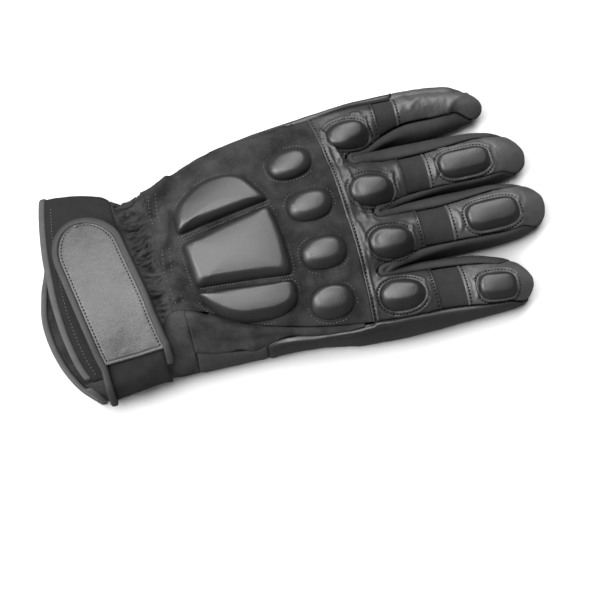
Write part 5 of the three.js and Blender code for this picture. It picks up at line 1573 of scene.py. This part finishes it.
def stitches(name, rows, length, width, finish):
    """Many short threads in one mesh: each an ellipsoid of six by four faces, long along its row
    and half sunk into the panel."""
    centre, run, up = (np.vstack(part) for part in zip(*rows))
    side = np.cross(up, run)
    ring = np.linspace(0, 2 * np.pi, 6, endpoint=False)
    turn = np.linspace(0, np.pi, 5)
    t, a = np.meshgrid(turn, ring, indexing="ij")
    local = np.stack([
        -np.cos(t) * length / 2, np.sin(t) * np.cos(a) * width / 2,
        np.sin(t) * np.sin(a) * width * 0.45], -1).reshape(-1, 3)
    points = centre[:, None] + local[None, :, :1] * run[:, None] \
        + local[None, :, 1:2] * side[:, None] + local[None, :, 2:] * up[:, None]
    one = quads(5, 6, closed=True)
    faces = (one[None] + (np.arange(len(centre)) * 30)[:, None, None]).reshape(-1, 4)
    flat = points.reshape(-1, 3)
    first, index = weld([flat])
    obj = make_object(name, flat[first], index[faces], flat[faces][..., :2])
    finish_piece(obj, finish, None)


def across_finger(finger, x, margin):
    """A straight line in plan across a finger."""
    sec = Section(finger, np.array([float(x)]))
    low, high = sec.outer[0][0][0] + margin, sec.thumb[0][0][0] - margin
    y = np.linspace(low, high, 20)
    return np.stack([x + 0 * y, y], 1)


def closed_line(outline, distance):
    """An outline moved outwards and closed."""
    moved = offset_outline(outline, distance)
    return np.vstack([moved, moved[:1]])


def strap_row(inset, height, spacing):
    """Stitch places just inside the strap's outline, up one edge, round its end and back."""
    reach = STRAP["end"] - inset - STRAP["round"]
    half = STRAP["half"] - inset
    angle = np.linspace(-np.pi / 2, np.pi / 2, 60)
    end_y = STRAP["round"] + reach * np.cos(angle)
    round_from = (STRAP["round"] - STRAP["seam"]) / STRAP["unit"]
    starts = strap_line(np.array([-1.0, 1.0]), inset, height, STRAP["face"] + 1.5)
    left, right = (np.linspace(start, round_from, 80)[:-1] for start in starts)
    turns = np.concatenate([left, (end_y - STRAP["seam"]) / STRAP["unit"], right[::-1]])
    across = np.concatenate([-half + 0 * left, half * np.sin(angle), half + 0 * right])
    y = STRAP["seam"] + np.maximum(turns, 0) * STRAP["unit"]
    x = strap_centre(y) + across
    path, up = strap_point(x, turns, height)
    both, run = spaced(np.hstack([path, 0.01 * up]), spacing)
    up = both[:, 3:] / np.linalg.norm(both[:, 3:], axis=1, keepdims=True)
    run = run[:, :3] / np.linalg.norm(run[:, :3], axis=1, keepdims=True)
    return both[:, :3], run, up


def build_stitching():
    """Pale thread on the suede and the cuff; in the leather and on the strap near-black stitches that are
    partly dark thread and partly painted shade of the stitch holes.
    """
    light, dark = [], []
    stitches("stitching_strap", [strap_row(4.3, 3.8, 1.75)], 1.15, 0.5, "dark_thread_hole_shade")
    t = np.linspace(0.03, 0.97, 80)
    edge = Section(None, -110 + 0 * t).point(BACK, t)[0]
    light.append(on_back(np.stack([sample(CUFF_EDGE, edge)["back"] + 6.0, edge], 1), 1.7, 0.05))
    for name, outline in OUTLINES.items():
        on_suede = name.startswith(("pad_hand", "pad_back"))
        (light if on_suede else dark).append(
            on_back(closed_line(outline, 1.6), 1.6, -0.1 if on_suede else -0.2))
    y = np.linspace(-52, 53, 60)
    dark.append(on_back(np.stack([knuckle_seam_x(y) + 1.6, y], 1), 1.75, -0.2))
    t = np.linspace(0.04, 0.96, 30)
    for x0, y0, x1, y1 in zip(*(CHANNELS[name] for name in ("x0", "y0", "x1", "y1"))):
        for shift in (-0.85, 0.85):
            path = np.stack([mix(x0, x1, t), mix(y0, y1, t) + shift], 1)
            light.append(on_back(path, 1.35, 1.05))
    for finger in FINGERS:
        for x in (finger["stretch"] - 1.7, finger["end"] + 1.7):
            dark.append(on_back(across_finger(finger, x, 1.0), 1.6, -0.15))
    y = np.linspace(-22, 36, 40)
    for x in (GATHER["end"] + 1.6, GATHER["end"] + 5.2):
        light.append(on_back(np.stack([x + 0.8 * np.sin(y / 5), y], 1), 2.1, 0.0))
    stitches("stitching_light", light, 0.8, 0.42, "thread_light")
    # Near-black stitches in the leather: partly dark thread, partly painted shade of the stitch holes
    stitches("stitching_dark_hole_shade", dark, 0.95, 0.85, "dark_thread_hole_shade")


# Settings, operators and panel


def colour(name, value, about):
    """A colour setting."""
    return bpy.props.FloatVectorProperty(
        name=name, description=about, default=(value, value, value), subtype="COLOR", size=3,
        min=0.0, max=1.0)


class GloveColours(bpy.types.PropertyGroup):
    """Colours of the glove's finishes."""

    leather: colour("Leather", 0.034, "Knuckle band")
    # Darker than the knuckle leather: partly the palm's own tone, partly painted shade along its outer edge
    # and underside
    palm: colour("Palm", 0.022, "Leather of the palm and thumb")
    tip: colour("Fingertips", 0.075, "Leather of the fingertips")
    pad: colour("Pads", 0.019, "Moulded pads")
    suede: colour("Suede", 0.034, "Back of the hand")
    gather: colour("Gathers", 0.038, "Gathered wrist, outer flank and palm half of the cuff")
    stretch: colour("Stretch cloth", 0.024, "Back half of the cuff and the strap's base")
    web: colour("Finger sides", 0.041, "Cloth between the fingers")
    knit: colour("Knit", 0.038, "Cloth across the finger joints")
    twill: colour("Twill", 0.05, "Gusset of the outer side")
    binding: colour("Binding", 0.083, "Tape round the cuff")
    edging: colour("Strap edging", 0.042, "Tape round the strap")
    strap: colour("Strap", 0.074, "Leather face of the strap")
    thread_light: colour("Pale thread", 0.15, "Stitches on the suede")
    # Near-black stitch colour: partly dark thread, partly painted shade of the stitch holes
    dark_thread_hole_shade: colour("Dark thread", 0.006, "Stitches in the leather")


class GloveSizes(bpy.types.PropertyGroup):
    """Sizes of the stage."""

    floor: bpy.props.FloatProperty(
        name="Floor", description="Width of the floor", default=30.0, min=1.0, unit="LENGTH")
    lamp: bpy.props.FloatProperty(
        name="Softbox", description="How wide the softbox looks from the glove",
        default=0.7, min=0.1, max=2.0, subtype="ANGLE")
    strength: bpy.props.FloatProperty(
        name="Strength", description="Light that the softbox throws on the floor",
        default=2.3, min=0.0)
    back: bpy.props.FloatProperty(
        name="Back light", description="Light that the lamp beyond the thumb side throws",
        default=1.5, min=0.0)
    edge: bpy.props.FloatProperty(
        name="Edge light", description="Light that the lamp at the cuff end throws",
        default=2.8, min=0.0)


class GLOVE_OT_back(bpy.types.Operator):
    """Builds the suede, knuckle leather and outer flank."""

    bl_idname = "glove.back"
    bl_label = "Back of the hand"

    def execute(self, context):
        build_back()
        return {"FINISHED"}


class GLOVE_OT_fingers(bpy.types.Operator):
    """Builds the cloth and leather of the fingers."""

    bl_idname = "glove.fingers"
    bl_label = "Fingers"

    def execute(self, context):
        build_fingers()
        return {"FINISHED"}


class GLOVE_OT_palm(bpy.types.Operator):
    """Builds the leather palm and the thumb."""

    bl_idname = "glove.palm"
    bl_label = "Palm and thumb"

    def execute(self, context):
        build_palm()
        build_thumb()
        return {"FINISHED"}


class GLOVE_OT_pads(bpy.types.Operator):
    """Builds the moulded pads."""

    bl_idname = "glove.pads"
    bl_label = "Pads"

    def execute(self, context):
        build_pads()
        return {"FINISHED"}


class GLOVE_OT_cuff(bpy.types.Operator):
    """Builds the gathered wrist, the cuff and the strap."""

    bl_idname = "glove.cuff"
    bl_label = "Cuff and strap"

    def execute(self, context):
        build_cuff()
        build_strap()
        return {"FINISHED"}


class GLOVE_OT_stitching(bpy.types.Operator):
    """Builds the rows of stitches."""

    bl_idname = "glove.stitching"
    bl_label = "Stitching"

    def execute(self, context):
        build_stitching()
        return {"FINISHED"}


class GLOVE_OT_stage(bpy.types.Operator):
    """Builds the floor, the lights and the camera."""

    bl_idname = "glove.stage"
    bl_label = "Stage"

    def execute(self, context):
        build_stage(context)
        return {"FINISHED"}


OPERATORS = (GLOVE_OT_back, GLOVE_OT_fingers, GLOVE_OT_palm, GLOVE_OT_pads, GLOVE_OT_cuff,
             GLOVE_OT_stitching, GLOVE_OT_stage)


class GLOVE_PT_panel(bpy.types.Panel):
    """Lists the settings and the pieces."""

    bl_idname = "GLOVE_PT_panel"
    bl_label = "Tactical glove"
    bl_space_type = "VIEW_3D"
    bl_region_type = "UI"
    bl_category = "Glove"

    def draw(self, context):
        """Every setting but the two properties that Blender itself gives a group."""
        for settings in (context.scene.glove_sizes, context.scene.glove_colours):
            for name in settings.bl_rna.properties.keys()[2:]:
                self.layout.prop(settings, name)
        for operator in OPERATORS:
            self.layout.operator(operator.bl_idname)


CLASSES = (GloveColours, GloveSizes, *OPERATORS, GLOVE_PT_panel)


def register():
    """Registers the classes and hangs the settings on the scene."""
    for cls in CLASSES:
        bpy.utils.register_class(cls)
    bpy.types.Scene.glove_colours = bpy.props.PointerProperty(type=GloveColours)
    bpy.types.Scene.glove_sizes = bpy.props.PointerProperty(type=GloveSizes)


def unregister():
    """Takes back what register did."""
    del bpy.types.Scene.glove_sizes
    del bpy.types.Scene.glove_colours
    for cls in reversed(CLASSES):
        bpy.utils.unregister_class(cls)


# Stage


def build_stage(context):
    """Pale floor that leaves no mirror image in the leather, even light from all round, a wide
    softbox overhead, a lamp beyond the thumb side and a low one beyond the cuff, and the camera at
    its angle above the floor. The camera stands at the given distance from its target, in the
    direction of the azimuth's sine and cosine times the elevation's."""
    sizes = context.scene.glove_sizes
    half = sizes.floor / 2
    low = min(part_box("palm_leather")[0].z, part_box("thumb_palm")[0].z)
    mesh = bpy.data.meshes.new("floor")
    mesh.from_pydata([(-half, -half, low), (half, -half, low), (half, half, low),
                      (-half, half, low)], [], [(0, 1, 2, 3)])
    floor = bpy.data.objects.new("floor", mesh)
    context.scene.collection.objects.link(floor)
    pale = bpy.data.materials.new("floor")
    pale.use_nodes = True
    shader = pale.node_tree.nodes["Principled BSDF"]
    for socket, value in FLOOR_FINISH.items():
        shader.inputs[socket].default_value = value
    mesh.materials.append(pale)
    floor.visible_glossy = False
    world = bpy.data.worlds.new("studio")
    world.use_nodes = True
    world.node_tree.nodes["Background"].inputs["Color"].default_value = (1, 1, 1, 1)
    world.node_tree.nodes["Background"].inputs["Strength"].default_value = WORLD_LIGHT
    context.scene.world = world
    for name, towards, strength, angle in (
        ("softbox", (-0.20, 0.15, 1.0), sizes.strength, sizes.lamp),
        ("back_light", (0.35, 0.8, 0.8), sizes.back, SIDE_LAMP_ANGLE),
        ("edge_light", (-1.0, 0.0, 0.66), sizes.edge, SIDE_LAMP_ANGLE),
    ):
        data = bpy.data.lights.new(name, "SUN")
        data.energy = strength
        data.angle = angle
        lamp = bpy.data.objects.new(name, data)
        lamp.rotation_euler = Vector(towards).to_track_quat("Z", "Y").to_euler()
        context.scene.collection.objects.link(lamp)
    data = bpy.data.cameras.new("camera")
    data.lens = VIEW["lens"]
    data.sensor_width = 36.0
    data.clip_start = 0.05
    data.clip_end = 20.0
    camera = bpy.data.objects.new("camera", data)
    a, e = np.radians(VIEW["azimuth"]), np.radians(VIEW["elevation"])
    back = Vector((np.sin(a) * np.cos(e), -np.cos(a) * np.cos(e), np.sin(e)))
    camera.location = Vector(VIEW["target"]) + back * VIEW["distance"]
    camera.rotation_euler = back.to_track_quat("Z", "Y").to_euler()
    context.scene.collection.objects.link(camera)
    context.scene.camera = camera
    context.scene.view_settings.view_transform = "Standard"


def main():
    """Registers the add-on and builds every piece."""
    register()
    for operator in OPERATORS:
        group, name = operator.bl_idname.split(".")
        getattr(getattr(bpy.ops, group), name)()


if __name__ == "__main__":
    main()
